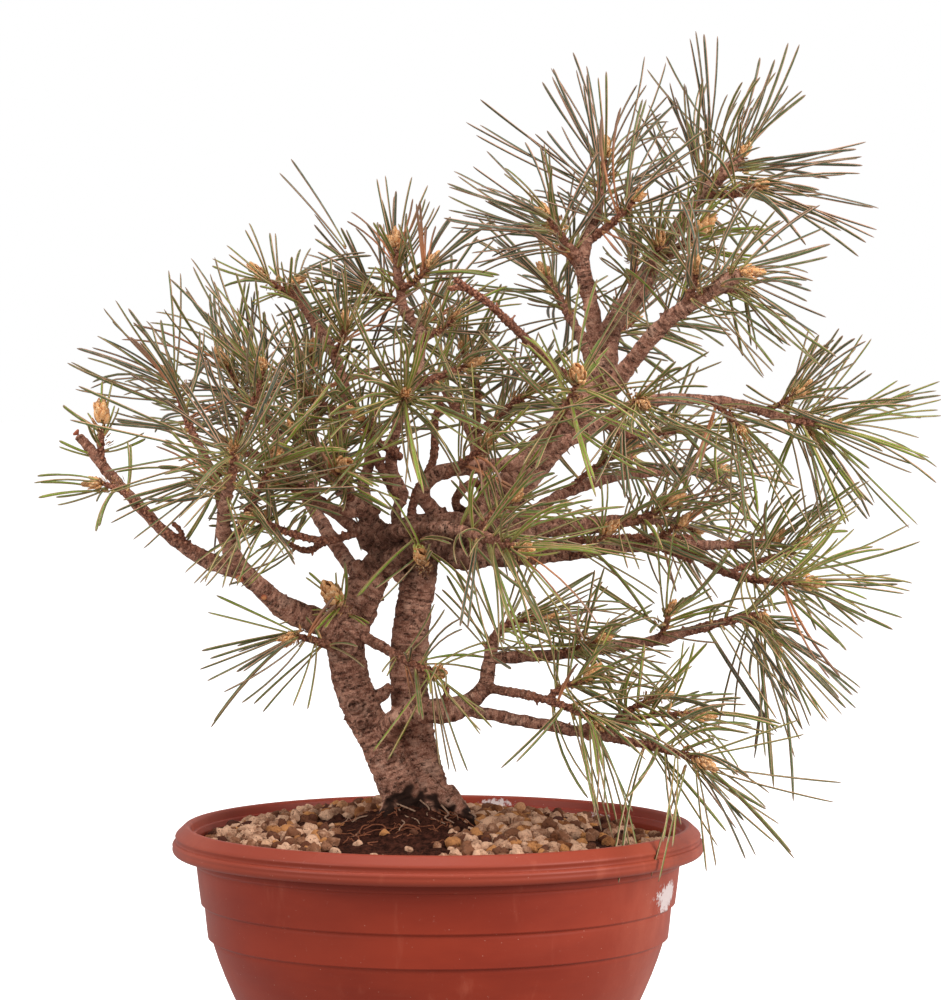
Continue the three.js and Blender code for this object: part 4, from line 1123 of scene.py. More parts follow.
def wood_behind(tip, axis):
    """The path of the twig that ends at a shoot's tip, from the tip back, with the twig's radius."""
    best, path = 14.0, None
    for limbs in WOOD.values():
        for limb in limbs:
            gap = float(np.linalg.norm(np.array(limb[-1][:3]) - tip))
            if gap < best:
                best, path = gap, smooth_path(limb, 2.0)[::-1]
    if path is None:
        back = np.arange(0, 60, 3.0)[:, None]
        return tip - axis * back, np.full(len(back), 2.0), -back[:, 0]
    spine = np.vstack([tip, path[1:, :3]])
    run = np.concatenate([[0], np.cumsum(np.linalg.norm(np.diff(spine, axis=0), axis=1))])
    return spine, np.concatenate([[1.6], path[1:, 3]]), -run


def shoot_needles(cluster, rng, shoot, settings):
    """Pairs of needles in a spiral down the end of a twig, drawn together into loose locks."""
    tip, axis, reach, pairs, fresh = shoot
    tip, axis = np.array(tip, float), unit(np.array(axis, float))
    pairs = max(4, int(round(pairs * settings.fullness)))
    spine, girth, run = wood_behind(tip, axis)
    bearing = min(settings.shoot_length, 12 + 1.3 * pairs, -run[-1] * 0.7)
    share = np.linspace(0.02, 1, pairs)
    back = bearing * share ** 1.25
    foot = np.stack([np.interp(back, -run, spine[:, k]) for k in range(3)], axis=1)
    ahead = np.stack([np.interp(back - 4, -run, spine[:, k]) for k in range(3)], axis=1)
    behind = np.stack([np.interp(back + 4, -run, spine[:, k]) for k in range(3)], axis=1)
    follow = np.clip(back / 15, 0, 0.8)[:, None]
    way = unit(axis * (1 - follow) + unit(ahead - behind) * follow)
    aside = unit(np.cross(way, np.array([0.31, 0.83, 0.46])))
    turn = (np.arange(pairs) * GOLDEN + rng.uniform(0, 6))[:, None]
    out = aside * np.cos(turn) + np.cross(way, aside) * np.sin(turn)
    lean = np.radians(14 + 62 * share ** 0.7 + rng.normal(0, 9, pairs))[:, None]
    aim = way * np.cos(lean) + out * np.sin(lean)
    locks = aim[rng.permutation(pairs)[:3 + pairs // 5]]
    pull = settings.locks * rng.uniform(0.3, 1, pairs)[:, None]
    aim = unit(aim + locks[np.argmax(aim @ locks.T, axis=1)] * pull)
    foot = foot + out * np.interp(back, -run, girth)[:, None] * 0.8
    spread = unit(np.cross(aim, rng.normal(0, 1, (pairs, 3))))
    long = reach * rng.uniform(0.66, 1.1, pairs)
    long = np.where(rng.random(pairs) < 0.06, long * 0.45, long)
    bend = rng.normal(0, 0.12, (pairs, 3)) + way * rng.uniform(-0.04, 0.22, pairs)[:, None]
    bend = bend - aim * np.sum(bend * aim, axis=1, keepdims=True)
    gone = (rng.random(pairs) < settings.dead_share).astype(float)
    tone = np.clip(fresh + rng.normal(0, 0.2, pairs), 0, 1)
    droop = rng.uniform(-0.03, 0.25, pairs)
    pair_up(cluster, rng, foot, aim, spread, long, bend, droop, tone, gone, settings)


def lone_needles(cluster, rng, lone, settings):
    """The needles that reach farthest out, each from its foot to its tip."""
    foot = np.array([item[0] for item in lone], float)
    tip = np.array([item[1] for item in lone], float)
    tone = np.array([item[2] for item in lone], float)
    length = np.linalg.norm(tip - foot, axis=1)
    aim = (tip - foot) / length[:, None]
    bend = rng.normal(0, 0.07, foot.shape)
    bend = bend - aim * np.sum(bend * aim, axis=1, keepdims=True)
    spread = unit(np.cross(aim, np.array([0.0, 1.0, 0.1]) + rng.normal(0, 0.3, foot.shape)))
    pair_up(cluster, rng, foot, unit(aim - bend), spread, length, bend, np.zeros(len(foot)), tone,
            np.zeros(len(foot)), settings)


def bud(cluster, rng, tip, axis, length, radius, green):
    """A bud of overlapping papery scales."""
    count = 22
    one, two = cross_pair(axis)
    rise = (np.arange(count) + 0.5) / count
    turn = np.arange(count) * GOLDEN
    out = one * np.cos(turn)[:, None] + two * np.sin(turn)[:, None]
    girth = radius * np.sqrt(np.clip(1 - (rise * 0.95) ** 2, 0.04, 1))
    foot = tip + axis * (rise * length * 0.72)[:, None] + out * (girth * 0.62)[:, None]
    aim = unit(axis + out * (0.55 - 0.5 * rise + rng.normal(0, 0.14, count))[:, None])
    tone = np.where(green, 0.99, rng.uniform(0.4, 0.92, count))
    made = blades(foot, aim, out, length * rng.uniform(0.38, 0.55, count),
                  radius * rng.uniform(0.85, 1.1, count), np.full(count, radius * 0.28), -out * 0.12,
                  np.zeros(count), rng.normal(0, 0.3, count), SCALE_FULLNESS)
    cluster.add(made, tone, np.zeros(count), SCALE)


def shoot_scales(cluster, rng, shoot):
    """Dry scales that stand off the shoot below its bud."""
    tip, axis = shoot[:2]
    tip, axis = np.array(tip, float), unit(np.array(axis, float))
    one, two = cross_pair(axis)
    count = 26
    back = rng.uniform(-1, 14, count)
    turn = rng.uniform(0, 2 * np.pi, count)
    out = one * np.cos(turn)[:, None] + two * np.sin(turn)[:, None]
    foot = tip - axis * back[:, None] + out * 1.5
    aim = unit(axis * rng.uniform(0.1, 1.0, count)[:, None] + out)
    made = blades(foot, aim, unit(np.cross(aim, np.cross(out, axis))), rng.uniform(1.8, 4.6, count),
                  rng.uniform(0.8, 1.7, count), np.full(count, 0.25), out * 0.1, np.zeros(count),
                  rng.normal(0, 0.6, count), SCALE_FULLNESS)
    cluster.add(made, rng.uniform(0, 0.7, count), np.zeros(count), SCALE)


def needle_piece(node, shoots, settings, materials):
    """All the needles, sheaths and buds that one cluster solid stands for."""
    rng = np.random.default_rng(sum(map(ord, node)) * 7)
    cluster = Cluster()
    if node in LONE:
        lone_needles(cluster, rng, LONE[node], settings)
    for shoot in shoots:
        shoot_needles(cluster, rng, shoot, settings)
        shoot_scales(cluster, rng, shoot)
        tip, axis = np.array(shoot[0], float), unit(np.array(shoot[1], float))
        one, two = cross_pair(axis)
        fresh = shoot[4] > 0.65
        plump = 1.45 if fresh else 1.0
        for k in range(rng.integers(1, 4)):
            swing = rng.uniform(0, 2 * np.pi)
            tilt = 0.0 if k == 0 else 0.55
            way = unit(axis + (one * math.cos(swing) + two * math.sin(swing)) * tilt)
            size = plump * rng.uniform(8, 12) * (1.0 if k == 0 else 0.7)
            bud(cluster, rng, tip - axis, way, size, size * (0.34 if fresh else 0.26), fresh and k == 1)
    name = node.replace("_tuft", "_needles")
    layers = {key: np.concatenate(values) for key, values in cluster.layers.items()}
    faces = np.vstack(cluster.faces).tolist()
    piece(name, np.vstack(cluster.points) * MM, faces, [materials["needle"], materials["scale"]],
          (node,), layers, np.concatenate(cluster.which))


# ---------------------------------------------------------------- bowl, peat, grit and roots

def arc(centre, radius, start, end, count=8):
    """Points on a round of an outline, by its centre, radius and angles in degrees."""
    angles = np.radians(np.linspace(start, end, count))
    return [(centre[0] + radius * math.cos(a), centre[1] + radius * math.sin(a)) for a in angles]


def bowl_outline(settings):
    """The bowl's section as (radius, height), from the middle of its underside and back inside."""
    outside = [(0, 0), (40, 0), (80, 0), *arc((82, 4), 4, -90, -50, 4), (91, 6), (97, 12), (102, 19.5),
               (107, 29), (110.8, 37), (114, 45), (117.6, 53), (121, 61), (124.4, 70), (127, 78),
               *arc((128.6, 79.8), 1.4, 200, 90, 5), (130.1, 82), (131, 90), (131.8, 98),
               *arc((132.9, 99.3), 1.2, 200, 90, 5), (134, 101.4), (135.2, 111), (136.4, 121.5),
               *arc((137.3, 122.6), 0.9, 200, 90, 5), (138.2, 124.6), (138.4, 128.6)]
    lip = [(140, 128.9), *arc((146.8, 131.9), 3.2, -90, 20, 9), (150, 134.4),
           *arc((148.4, 134.6), 1.4, 20, 110, 5), (147.6, 136.6), (147.7, 137.6),
           *arc((145.2, 138.4), 3.2, 10, 48, 5),
           *arc((141.9, 142.7), 2.3, 42, 170, 10), (139.3, 141.5), (138.9, 139.6)]
    inside = [*arc((138.2, 138.9), 0.8, 60, 190, 5), (136.6, 136.5), (135.4, 122), (132.5, 108), (127, 85),
              (120, 66), (112, 47), (104, 30), (95, 14.5), (84, settings.floor_depth),
              (40, settings.floor_depth), (0, settings.floor_depth)]
    return braced([*outside, *lip, *inside])


def braced(outline, margin=0.35):
    """An outline with points close to the ends of its long runs, so that its edges shade crisply."""
    points = [outline[0]]
    for start, end in zip(outline, outline[1:]):
        run = math.dist(start, end)
        if run > 3 * margin:
            for share in (margin / run, 1 - margin / run):
                points.append(tuple(a + (b - a) * share for a, b in zip(start, end)))
        points.append(end)
    return np.array(points)


def turned(outline, sides):
    """A lathed solid: its points and faces, with one point where the outline meets the axis."""
    turn = np.arange(sides) * 2 * np.pi / sides
    inner = outline[1:-1]
    ring = np.stack([np.cos(turn), np.sin(turn)], axis=1)
    points = np.concatenate([inner[:, None, :1] * ring[None], np.broadcast_to(
        inner[:, None, 1:], (len(inner), sides, 1))], axis=2).reshape(-1, 3)
    points = np.vstack([points, (0, 0, outline[0][1]), (0, 0, outline[-1][1])])
    faces = []
    for i in range(len(inner) - 1):
        for j in range(sides):
            k = (j + 1) % sides
            faces.append((i * sides + j, i * sides + k, (i + 1) * sides + k, (i + 1) * sides + j))
    last = (len(inner) - 1) * sides
    for j in range(sides):
        k = (j + 1) % sides
        faces.append((len(points) - 2, k, j))
        faces.append((len(points) - 1, last + j, last + k))
    return points, faces


def drained(made, settings):
    """Cuts the drain holes through the bowl's floor."""
    parts = []
    for i in range(settings.drain_holes):
        turn = i * 2 * math.pi / settings.drain_holes
        spot = np.array([settings.drain_circle * math.cos(turn), settings.drain_circle * math.sin(turn), 0])
        spine = np.array([spot - (0, 0, 6), spot + (0, 0, 12)])
        parts.append(tube(spine * MM, np.full(2, settings.drain_radius * MM), 24))
    points, faces = gather(parts)
    mesh = bpy.data.meshes.new("drills")
    mesh.from_pydata(points.tolist(), [], faces)
    drills = bpy.data.objects.new("drills", mesh)
    bpy.context.collection.objects.link(drills)
    cut = made.modifiers.new("drain", "BOOLEAN")
    cut.object = drills
    cut.solver = "EXACT"
    seen = made.evaluated_get(bpy.context.evaluated_depsgraph_get())
    mesh_cut = bpy.data.meshes.new_from_object(seen)
    made.modifiers.clear()
    made.data = mesh_cut
    bpy.data.objects.remove(drills)


def grit_top(x, y):
    """Height of the grit's surface, in mm: a low dome, heaped up at the back left."""
    far = np.hypot(x + 6, y)
    heap = 4.5 * np.exp(-((x + 52) ** 2 + (y - 62) ** 2) / 2600)
    return 147.5 - 15 * (far / 138) ** 2 + heap


def peat_shown(x, y):
    """How far outside the bare peat a spot is: it lies round the trunks and forward to the rim."""
    ragged = 5 * np.sin(x * 0.21 + 1) * np.cos(y * 0.17) + 3 * np.sin(x * 0.47 - y * 0.39)
    foot = np.hypot((x + 12) / 1.05, (y + 14) / 1.1) - 30
    front = np.where(y < -14, np.abs(x + 25 - 0.12 * (y + 60)) - 34, 99)
    spills = [np.hypot((x - a) / c, (y - b) / d) * 10 - 10 for a, b, c, d in PEAT_SPILLS]
    return np.minimum.reduce([foot, front, *spills]) + ragged


def peat_top(x, y):
    """Height of the bare peat and of the bed under the grit, in mm."""
    mound = 10.0 * np.exp(-((x + 13) ** 2 + (y + 8) ** 2) / 700)
    bare = 1 - eased(peat_shown(x, y), -4, 10)
    return grit_top(x, y) - 3.4 + bare * 2.6 + mound


# ---------------------------------------------------------------- settings

def distance(name, description, default, low=0.0):
    """A length in millimetres that a user can change."""
    return bpy.props.FloatProperty(name=name, description=description, default=default, min=low)


def tint(name, description, *srgb):
    """A colour that a user can change, given as 0 to 255 screen values."""
    linear = [c / 255 / 12.92 if c <= 10 else ((c / 255 + 0.055) / 1.055) ** 2.4 for c in srgb]
    return bpy.props.FloatVectorProperty(name=name, description=description, subtype="COLOR", size=3,
                                         min=0.0, max=1.0, default=linear)


class BowlSettings(bpy.types.PropertyGroup):
    """Sizes and colours of the bowl."""

    sides: bpy.props.IntProperty(name="Facets", description="Facets round the bowl", default=288, min=24)
    floor_depth: distance("Floor", "Thickness of the bowl's floor in mm", 3.0)
    drain_holes: bpy.props.IntProperty(name="Drain holes", description="Holes through the floor", default=6)
    drain_circle: distance("Drain circle", "Distance of the holes from the middle in mm", 58.0)
    drain_radius: distance("Drain radius", "Radius of each hole in mm", 4.0)
    bowl_colour: tint("Plastic", "Colour of the wall", 150, 51, 29)
    bowl_deep: tint("Deep plastic", "Darker drift in the wall", 134, 42, 23)
    rim_colour: tint("Rim", "Paler colour of the rim", 144, 59, 40)
    bowl_pale: tint("Dust", "Dust and specks", 205, 150, 132)
    bowl_haze: tint("Haze", "Scuffed and faded plastic", 190, 100, 76)
    lime_colour: tint("Lime", "Lime scale left by watering", 214, 196, 192)


class WoodSettings(bpy.types.PropertyGroup):
    """Detail and colours of the bark."""

    trunk_voxel: distance("Trunk detail", "Voxel of the trunks' skin in mm", 0.75, 0.3)
    twig_voxel: distance("Twig detail", "Voxel of the branches' skin in mm", 0.7, 0.3)
    snag_gap: distance("Snag gap", "Distance between snags in mm", 15.0, 2.0)
    bark_relief: distance("Relief", "Height of the bark's lumps in mm", 0.8)
    bark_light: tint("Bark", "Ridges of old bark", 208, 153, 128)
    bark_dark: tint("Dark bark", "Hollows of old bark", 120, 73, 57)
    bark_grey: tint("Grey bark", "Weathered bark", 222, 180, 156)
    bark_crack: tint("Cracks", "Cracks and knots", 58, 34, 25)
    twig_light: tint("Twig", "Ridges of young bark", 176, 114, 88)
    twig_dark: tint("Dark twig", "Hollows of young bark", 88, 46, 34)
    # The soil stain is wet peat, and in front of the trunks it is also painted shadow.
    soil_stain: tint("Soil stain", "Wet peat on the foot of the trunks", 46, 28, 21)
    cut_heart: tint("Cut heart", "Middle of a fresh cut", 214, 142, 92)
    cut_edge: tint("Cut edge", "Edge of a fresh cut", 164, 84, 54)


class NeedleSettings(bpy.types.PropertyGroup):
    """Sizes and colours of the needles."""

    needle_width: distance("Width", "Width of a needle in mm", 1.75)
    needle_depth: distance("Depth", "Thickness of a needle in mm", 0.85)
    shoot_length: distance("Bearing shoot", "Length of shoot that bears needles in mm", 46.0)
    fullness: bpy.props.FloatProperty(name="Fullness", description="Share of the needles that are kept",
                                      default=0.68, min=0.1, max=2.0)
    locks: bpy.props.FloatProperty(name="Locks", description="How far needles are drawn into locks",
                                   default=0.8, min=0.0, max=4.0)
    dead_share: bpy.props.FloatProperty(name="Dead share", description="Share of needles that are dead",
                                        default=0.035, min=0.0, max=1.0, subtype="FACTOR")
    needle_dark: tint("Dark needle", "Shaded blue-green needles", 66, 82, 62)
    needle_mid: tint("Needle", "Most needles", 92, 108, 48)
    needle_fresh: tint("Fresh needle", "This year's needles", 128, 150, 44)
    needle_pale: tint("Wax", "Waxy streaks", 178, 172, 152)
    needle_edge: tint("Edge", "Paler, browner edges", 212, 152, 122)
    needle_foot: tint("Foot", "Foot of a needle", 166, 162, 90)
    needle_tip: tint("Tip", "Dry tip of a needle", 140, 106, 84)
    dead_needle: tint("Dead needle", "Dry needles", 196, 130, 90)
    scale_dark: tint("Old scale", "Old bud scales", 108, 60, 40)
    scale_tan: tint("Scale", "Bud scales", 226, 164, 106)
    scale_pale: tint("Pale scale", "Papery edges", 244, 210, 166)
    bud_green: tint("Bud tip", "Opening buds", 178, 190, 100)


class GroundSettings(bpy.types.PropertyGroup):
    """Sizes and colours of the grit, peat and roots."""

    grain_gap: distance("Grain gap", "Distance between grains in mm", 7.0, 3.0)
    grain_radius: distance("Grain radius", "Mean radius of a grain in mm", 4.3, 1.0)
    # The paler pumice and clay colours are the lit grains and the darker ones the stained and shaded
    # grains: painted light and shade.
    pumice_pale: tint("Pale pumice", "Lit pumice", 208, 164, 134)
    pumice_tan: tint("Pumice", "Stained pumice", 128, 84, 60)
    clay_light: tint("Clay", "Fired clay grains", 184, 126, 78)
    clay_dark: tint("Dark clay", "Stained clay grains", 122, 74, 46)
    pit_colour: tint("Pits", "Holes in the pumice", 74, 44, 30)
    peat_dark: tint("Peat", "Damp peat", 34, 17, 12)
    peat_light: tint("Dry peat", "Dry crumbs of peat", 78, 44, 34)
    fibre_colour: tint("Fibre", "Root fibres", 130, 78, 54)
    pale_root: tint("Pale root", "Bleached roots", 158, 126, 104)


class StageSettings(bpy.types.PropertyGroup):
    """Floor, light and camera, in metres."""

    floor_colour: tint("Floor", "Pale floor", 244, 243, 241)
    view_distance: bpy.props.FloatProperty(name="Distance", description="Camera to the tree",
                                           default=2.5, unit="LENGTH")
    view_height: bpy.props.FloatProperty(name="Height", description="Camera over the floor",
                                         default=0.448, unit="LENGTH")
    aim_side: bpy.props.FloatProperty(name="Aim side", description="Aim to the right of the bowl's middle",
                                      default=0.0183, unit="LENGTH")
    aim_height: bpy.props.FloatProperty(name="Aim height", description="Aim over the floor",
                                        default=0.328, unit="LENGTH")
    lens: bpy.props.FloatProperty(name="Lens", description="Focal length in mm", default=160.0)


# ---------------------------------------------------------------- operators

def kept(name, maker, settings):
    """The material of this name, made once."""
    return bpy.data.materials.get(f"{name}_finish") or maker(settings)


class BONSAI_OT_bowl(bpy.types.Operator):
    """Turn the bowl and pierce its floor"""

    bl_idname = "bonsai.bowl"
    bl_label = "Bowl"

    def execute(self, context):
        settings = context.scene.bonsai_bowl
        outline = bowl_outline(settings)
        points, faces = turned(outline, settings.sides)
        radius = np.hypot(points[:, 0], points[:, 1])
        rim = eased(points[:, 2], 126, 131) * eased(radius, 137.5, 141)
        middle, reach = np.array(LIME)
        lime = 0.95 * np.exp(-np.sum(((points - middle) / reach) ** 2, axis=1))
        side = np.hypot((points[:, 0] - 128) / 42, (points[:, 1] + 40) / 60)
        haze = np.exp(-side ** 2) + 0.5 * np.exp(-((points[:, 0] + 134) / 14) ** 2)
        for x, z, width in LIME_STAINS:
            back = (np.abs(points[:, 0] - x) / width) ** 2 + ((points[:, 2] - z) / 4.5) ** 2
            lime = np.maximum(lime, 0.62 * np.exp(-back) * (points[:, 1] > 60) * (radius < 141))
        material = kept("bowl_plastic", plastic_material, settings)
        made = piece("bowl_turned", points * MM, faces, [material], ("bowl",),
                     {"rim": rim, "lime": lime, "haze": np.clip(haze, 0, 1)})
        drained(made, settings)
        return {"FINISHED"}


class BONSAI_OT_peat(bpy.types.Operator):
    """Lay the peat under the grit and heap it round the trunks"""

    bl_idname = "bonsai.peat"
    bl_label = "Peat"

    def execute(self, context):
        material = kept("peat", peat_material, context.scene.bonsai_ground)
        sides = 300
        radii = np.concatenate([[0], np.linspace(0.8, PEAT_REACH, 116)])
        top = np.stack([radii, np.zeros_like(radii)], axis=1)
        outline = np.vstack([[(0, 118)], [(125, 118)], [(132.6, 122)], top[::-1]])
        points, faces = turned(outline, sides)
        for i, (x, y, z) in enumerate(points):
            if z != 0 or i == len(points) - 2:
                continue
            bare = 1 - float(eased(np.array(peat_shown(x, y)), -4, 10))
            spot = Vector((x, y, 0))
            crumbs = (noise.noise(spot / 4.5) * 1.1 + noise.noise(spot / 1.9) * 0.7
                      + noise.noise(spot / 12) * 1.6)
            points[i, 2] = float(peat_top(x, y)) + crumbs * (0.5 + bare)
        points[-1, 2] = float(peat_top(0, 0))
        piece("peat_bed", points * MM, faces, [material], ("peat_mound",))
        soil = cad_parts["soil_fill"]
        soil.data.materials.clear()
        soil.data.materials.append(material)
        return {"FINISHED"}


class BONSAI_OT_grit(bpy.types.Operator):
    """Scatter pumice and clay grains over the peat"""

    bl_idname = "bonsai.grit"
    bl_label = "Grit"

    def execute(self, context):
        settings = context.scene.bonsai_ground
        material = kept("grit", stone_material, settings)
        rng = np.random.default_rng(41)
        ball, ball_faces = round_ball(3)
        spots = self.spots(rng, settings)
        for name, side, depth in (("grit_back_left", -1, 1), ("grit_back_right", 1, 1),
                                  ("grit_front_left", -1, -1), ("grit_front_right", 1, -1)):
            parts, tones, shades = [], [], []
            for x, y, z, radius in spots:
                if (x < 0) != (side < 0) or (y < 0) != (depth < 0):
                    continue
                tone = rng.random()
                parts.append((grain(ball, rng, tone) * radius + np.array([x, y, z]), ball_faces))
                tones.append(np.full(len(ball), tone))
                # A random shade value for each grain, which its material paints as light or shade.
                shades.append(np.full(len(ball), rng.random()))
            points, faces = gather(parts)
            stands_for = ("grit_topping",) if name == "grit_back_left" else ()
            layers = {"tone": np.concatenate(tones), "shade": np.concatenate(shades)}
            piece(name, points * MM, faces, [material], stands_for, layers)
        return {"FINISHED"}

    def spots(self, rng, settings):
        """Places and radii of the grains: a layer in uneven rows, and loose ones on top of it."""
        gap, loose = settings.grain_gap, 95
        spots = []
        rows = int(GRIT_REACH / (gap * 0.87)) + 1
        for row in range(-rows, rows + 1):
            for column in range(-rows - 2, rows + 3):
                x = (column + 0.5 * (row % 2)) * gap + rng.normal(0, 0.17 * gap)
                y = row * gap * 0.87 + rng.normal(0, 0.17 * gap)
                radius = settings.grain_radius * rng.uniform(0.6, 1.22)
                lift = rng.normal(0, 0.9)
                chance = rng.random()
                bare = float(peat_shown(x, y))
                if math.hypot(x, y) > GRIT_REACH - radius or math.hypot((x + 10) / 1.1, y - 1) < 23:
                    continue
                if bare < 4 and chance > 0.10 + 0.03 * max(0.0, bare):
                    continue
                if bare < 4:
                    radius *= 0.75
                spots.append((x, y, float(grit_top(x, y)) - 0.9 + lift, radius))
        for _ in range(loose):
            far, turn = 128 * math.sqrt(rng.random()), rng.uniform(0, 2 * math.pi)
            x, y = far * math.cos(turn), far * math.sin(turn)
            radius = settings.grain_radius * rng.uniform(0.5, 0.95)
            if float(peat_shown(x, y)) > 6 and far < 126 - radius:
                spots.append((x, y, float(grit_top(x, y)) + 2.6, radius))
        return spots


def round_ball(level):
    """A round ball of triangles."""
    shape = bmesh.new()
    bmesh.ops.create_icosphere(shape, subdivisions=level, radius=1.0)
    points = np.array([list(v.co) for v in shape.verts])
    faces = [tuple(v.index for v in face.verts) for face in shape.faces]
    shape.free()
    return points, faces


def grain(ball, rng, tone):
    """A worn, flat-sided grain of about unit radius: rougher pumice, smoother clay."""
    flats = unit(rng.normal(0, 1, (14, 3)))
    depth = rng.uniform(0.74, 1.0, 14)
    facing = np.clip(ball @ flats.T, 0.02, 1) / depth
    radius = np.minimum(np.sum(facing ** 9, axis=1) ** (-1 / 9), 1.12)
    wave = sum(np.sin(ball @ rng.normal(0, 3.2, 3) + rng.uniform(0, 6)) for _ in range(3))
    fine = sum(np.sin(ball @ rng.normal(0, 9, 3) + rng.uniform(0, 6)) for _ in range(3))
    rough = 0.05 if tone < 0.72 else 0.015
    shape = ball * (radius * (1 + 0.045 * wave + rough * fine))[:, None]
    shape = shape * rng.uniform(0.8, 1.18, 3)
    turn, _ = np.linalg.qr(rng.normal(0, 1, (3, 3)))
    turn[:, 0] *= np.sign(np.linalg.det(turn))
    return shape @ turn.T


class BONSAI_OT_roots(bpy.types.Operator):
    """Lay fine roots and fibres over the peat"""

    bl_idname = "bonsai.roots"
    bl_label = "Roots"

    def execute(self, context):
        material = kept("root", root_material, context.scene.bonsai_ground)
        rng = np.random.default_rng(17)
        parts, tones = [], []
        fibres = 95
        for i in range(fibres):
            far, turn = rng.uniform(12, 62), rng.uniform(0, 2 * math.pi)
            x, y = -12 + far * math.cos(turn), -24 + far * math.sin(turn)
            if peat_shown(x, y) > 6 or math.hypot(x, y) > 122:
                continue
            way, length = rng.uniform(0, 2 * math.pi), rng.uniform(7, 26)
            thick, tone = rng.uniform(0.15, 0.38), float(rng.random() < 0.07)
            path = []
            for k in range(9):
                way += rng.normal(0, 0.35)
                x, y = x + math.cos(way) * length / 9, y + math.sin(way) * length / 9
                lift = 0.4 + abs(rng.normal(0, 0.5)) + 1.6 * math.sin(math.pi * k / 8) * (i % 3 == 0)
                path.append((x, y, float(peat_top(x, y)) + lift, thick))
            path = smooth_path(path, 0.8)
            parts.append(tube(path[:, :3], path[:, 3], 6))
            tones.append(np.full(len(parts[-1][0]), tone))
        for path in FOOT_ROOTS:
            path = smooth_path(path, 1.0)
            parts.append(tube(path[:, :3], path[:, 3], 8))
            tones.append(np.full(len(parts[-1][0]), 1.0))
        points, faces = gather(parts)
        piece("fine_roots", points * MM, faces, [material], (), {"tone": np.concatenate(tones)})
        return {"FINISHED"}


class BONSAI_OT_wood(bpy.types.Operator):
    """Grow the trunks and branches"""

    bl_idname = "bonsai.wood"
    bl_label = "Wood"

    def execute(self, context):
        settings = context.scene.bonsai_wood
        materials = {"bark": kept("bark", bark_material, settings)}
        for name, limbs in WOOD.items():
            wood_piece(name, limbs, settings, materials)
        return {"FINISHED"}


class BONSAI_OT_cuts(bpy.types.Operator):
    """Face the fresh pruning cuts"""

    bl_idname = "bonsai.cuts"
    bl_label = "Pruning cuts"

    def execute(self, context):
        material = kept("fresh_cut", cut_material, context.scene.bonsai_wood)
        parts, along = [], []
        for x, y, z, size, way in CUTS:
            axis = unit(np.array(way, float))
            one, two = cross_pair(axis)
            points, far = [], []
            faces = []
            rings, sides = 5, 20
            for i in range(rings):
                reach = (i + 1) / rings
                lift = size * (0.5 if reach < 0.9 else 0.15) * (1 - 0.1 * reach)
                for j in range(sides):
                    turn = 2 * math.pi * j / sides
                    spot = one * math.cos(turn) + two * math.sin(turn)
                    points.append(np.array([x, y, z]) + spot * size * reach * 0.85 + axis * lift)
                    far.append(reach)
            points.append(np.array([x, y, z]) + axis * size * 0.5)
            points.append(np.array([x, y, z]) - axis * size * 0.6)
            far.extend((0, 1))
            for j in range(sides):
                k = (j + 1) % sides
                faces.append((len(points) - 2, j, k))
                faces.append((len(points) - 1, (rings - 1) * sides + k, (rings - 1) * sides + j))
                for i in range(rings - 1):
                    faces.append((i * sides + j, (i + 1) * sides + j, (i + 1) * sides + k, i * sides + k))
            parts.append((np.array(points), faces))
            along.extend(far)
        points, faces = gather(parts)
        piece("pruning_cuts", points * MM, faces, [material], (), {"along": along})
        return {"FINISHED"}


class BONSAI_OT_needles(bpy.types.Operator):
    """Set the needles and buds on every shoot"""

    bl_idname = "bonsai.needles"
    bl_label = "Needles"

    def execute(self, context):
        settings = context.scene.bonsai_needles
        materials = {"needle": kept("needle", needle_material, settings),
                     "scale": kept("bud_scale", scale_material, settings)}
        for node, shoots in SHOOTS.items():
            needle_piece(node, shoots, settings, materials)
        return {"FINISHED"}


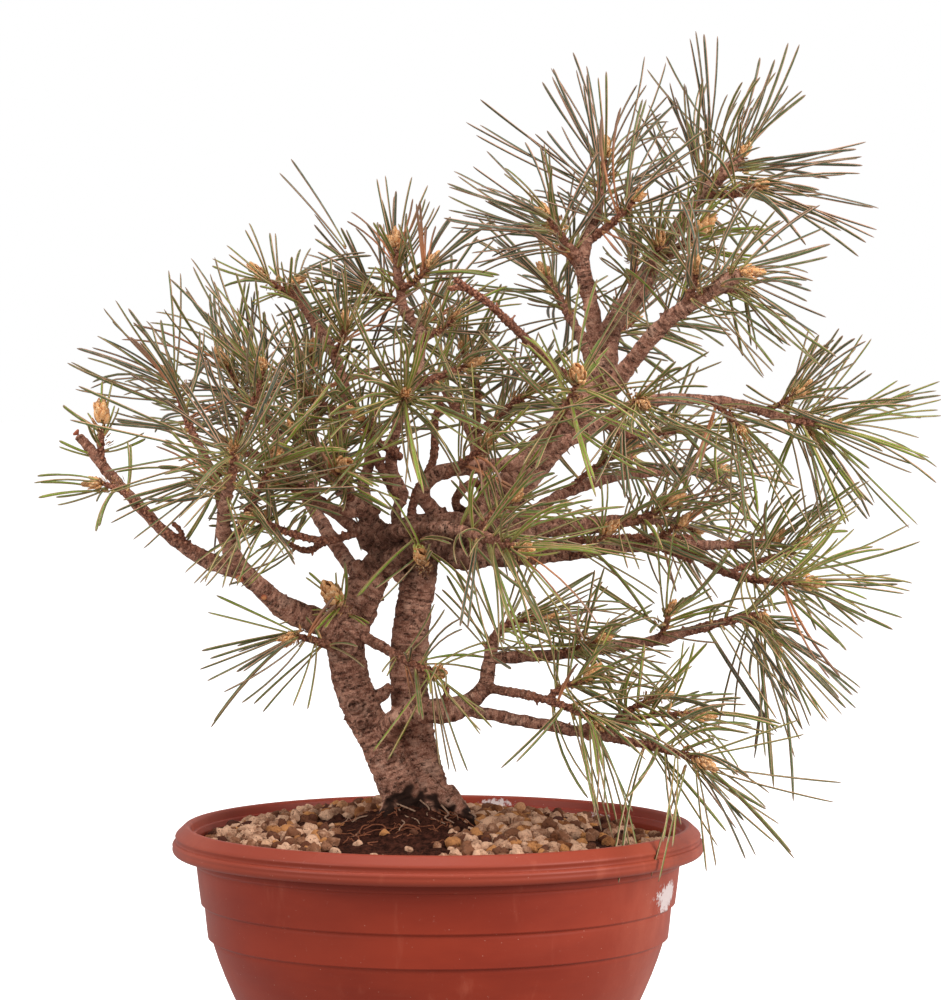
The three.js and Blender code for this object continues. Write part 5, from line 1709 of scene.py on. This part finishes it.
class BONSAI_OT_stage(bpy.types.Operator):
    """Set the floor, the lights and the camera"""

    bl_idname = "bonsai.stage"
    bl_label = "Stage"

    def execute(self, context):
        settings = context.scene.bonsai_stage
        self.floor(context, settings)
        for name, spot, size, power in LIGHTS:
            self.light(context, name, spot, size, power)
        world = bpy.data.worlds.new("studio")
        world.use_nodes = True
        tree = world.node_tree
        backdrop = tree.nodes["Background"]
        backdrop.inputs["Color"].default_value = (1, 1, 1, 1)
        backdrop.inputs["Strength"].default_value = 1.0
        soft = tree.nodes.new("ShaderNodeBackground")
        soft.inputs["Color"].default_value = (1, 1, 1, 1)
        soft.inputs["Strength"].default_value = 0.54
        ray, choice = tree.nodes.new("ShaderNodeLightPath"), tree.nodes.new("ShaderNodeMixShader")
        tree.links.new(ray.outputs["Is Camera Ray"], choice.inputs[0])
        tree.links.new(soft.outputs[0], choice.inputs[1])
        tree.links.new(backdrop.outputs[0], choice.inputs[2])
        tree.links.new(choice.outputs[0], tree.nodes["World Output"].inputs["Surface"])
        context.scene.world = world
        context.scene.view_settings.view_transform = "Standard"
        self.camera(context, settings)
        return {"FINISHED"}

    def floor(self, context, settings):
        shader = Shader("pale_floor", Roughness=0.9, Specular_IOR_Level=0.1, Emission_Strength=0.62)
        shade = shader.clouds(shader.place(), 3, 2.0)
        near = tuple(c * 0.985 for c in settings.floor_colour)
        shader.drive("Base Color", shader.blend(shade, settings.floor_colour, near))
        mesh = bpy.data.meshes.new("floor")
        reach = 12
        mesh.from_pydata([(-reach, -reach, 0), (reach, -reach, 0), (reach, reach, 0), (-reach, reach, 0)],
                         [], [(0, 1, 2, 3)])
        mesh.materials.append(shader.material)
        made = bpy.data.objects.new("floor", mesh)
        context.collection.objects.link(made)
        made.location.z = -0.0002
        made.visible_diffuse = False
        made.visible_glossy = False

    def light(self, context, name, spot, size, power):
        lamp = bpy.data.lights.new(name, "AREA")
        lamp.shape = "DISK"
        lamp.size = size
        lamp.energy = power
        made = bpy.data.objects.new(name, lamp)
        made.location = spot
        made.rotation_euler = (Vector(LIT_SPOT) - Vector(spot)).to_track_quat("-Z", "Y").to_euler()
        context.collection.objects.link(made)

    def camera(self, context, settings):
        seen = bpy.data.cameras.new("view")
        seen.lens = settings.lens
        seen.sensor_width = 36
        made = bpy.data.objects.new("view", seen)
        made.location = (settings.aim_side, -settings.view_distance, settings.view_height)
        aim = Vector((settings.aim_side, 0, settings.aim_height))
        made.rotation_euler = (aim - made.location).to_track_quat("-Z", "Y").to_euler()
        context.collection.objects.link(made)
        context.scene.camera = made


class BONSAI_PT_panel(bpy.types.Panel):
    """The bonsai's pieces and settings"""

    bl_label = "Bonsai"
    bl_idname = "BONSAI_PT_panel"
    bl_space_type = "VIEW_3D"
    bl_region_type = "UI"
    bl_category = "Bonsai"

    def draw(self, context):
        for step in STEPS:
            self.layout.operator(step.bl_idname)
        for name, group in GROUPS.items():
            settings = getattr(context.scene, name)
            box = self.layout.box()
            for prop in group.__annotations__:
                box.prop(settings, prop)


STEPS = (BONSAI_OT_stage, BONSAI_OT_bowl, BONSAI_OT_peat, BONSAI_OT_grit, BONSAI_OT_roots,
         BONSAI_OT_wood, BONSAI_OT_cuts, BONSAI_OT_needles)
GROUPS = {"bonsai_bowl": BowlSettings, "bonsai_wood": WoodSettings, "bonsai_needles": NeedleSettings,
          "bonsai_ground": GroundSettings, "bonsai_stage": StageSettings}


def register():
    for each in (*GROUPS.values(), *STEPS, BONSAI_PT_panel):
        bpy.utils.register_class(each)
    for name, group in GROUPS.items():
        setattr(bpy.types.Scene, name, bpy.props.PointerProperty(type=group))


def unregister():
    for name in GROUPS:
        delattr(bpy.types.Scene, name)
    for each in reversed((*GROUPS.values(), *STEPS, BONSAI_PT_panel)):
        bpy.utils.unregister_class(each)


def main():
    """Builds everything in order."""
    register()
    for step in STEPS:
        group, name = step.bl_idname.split(".")
        getattr(getattr(bpy.ops, group), name)()


if __name__ == "__main__":
    main()
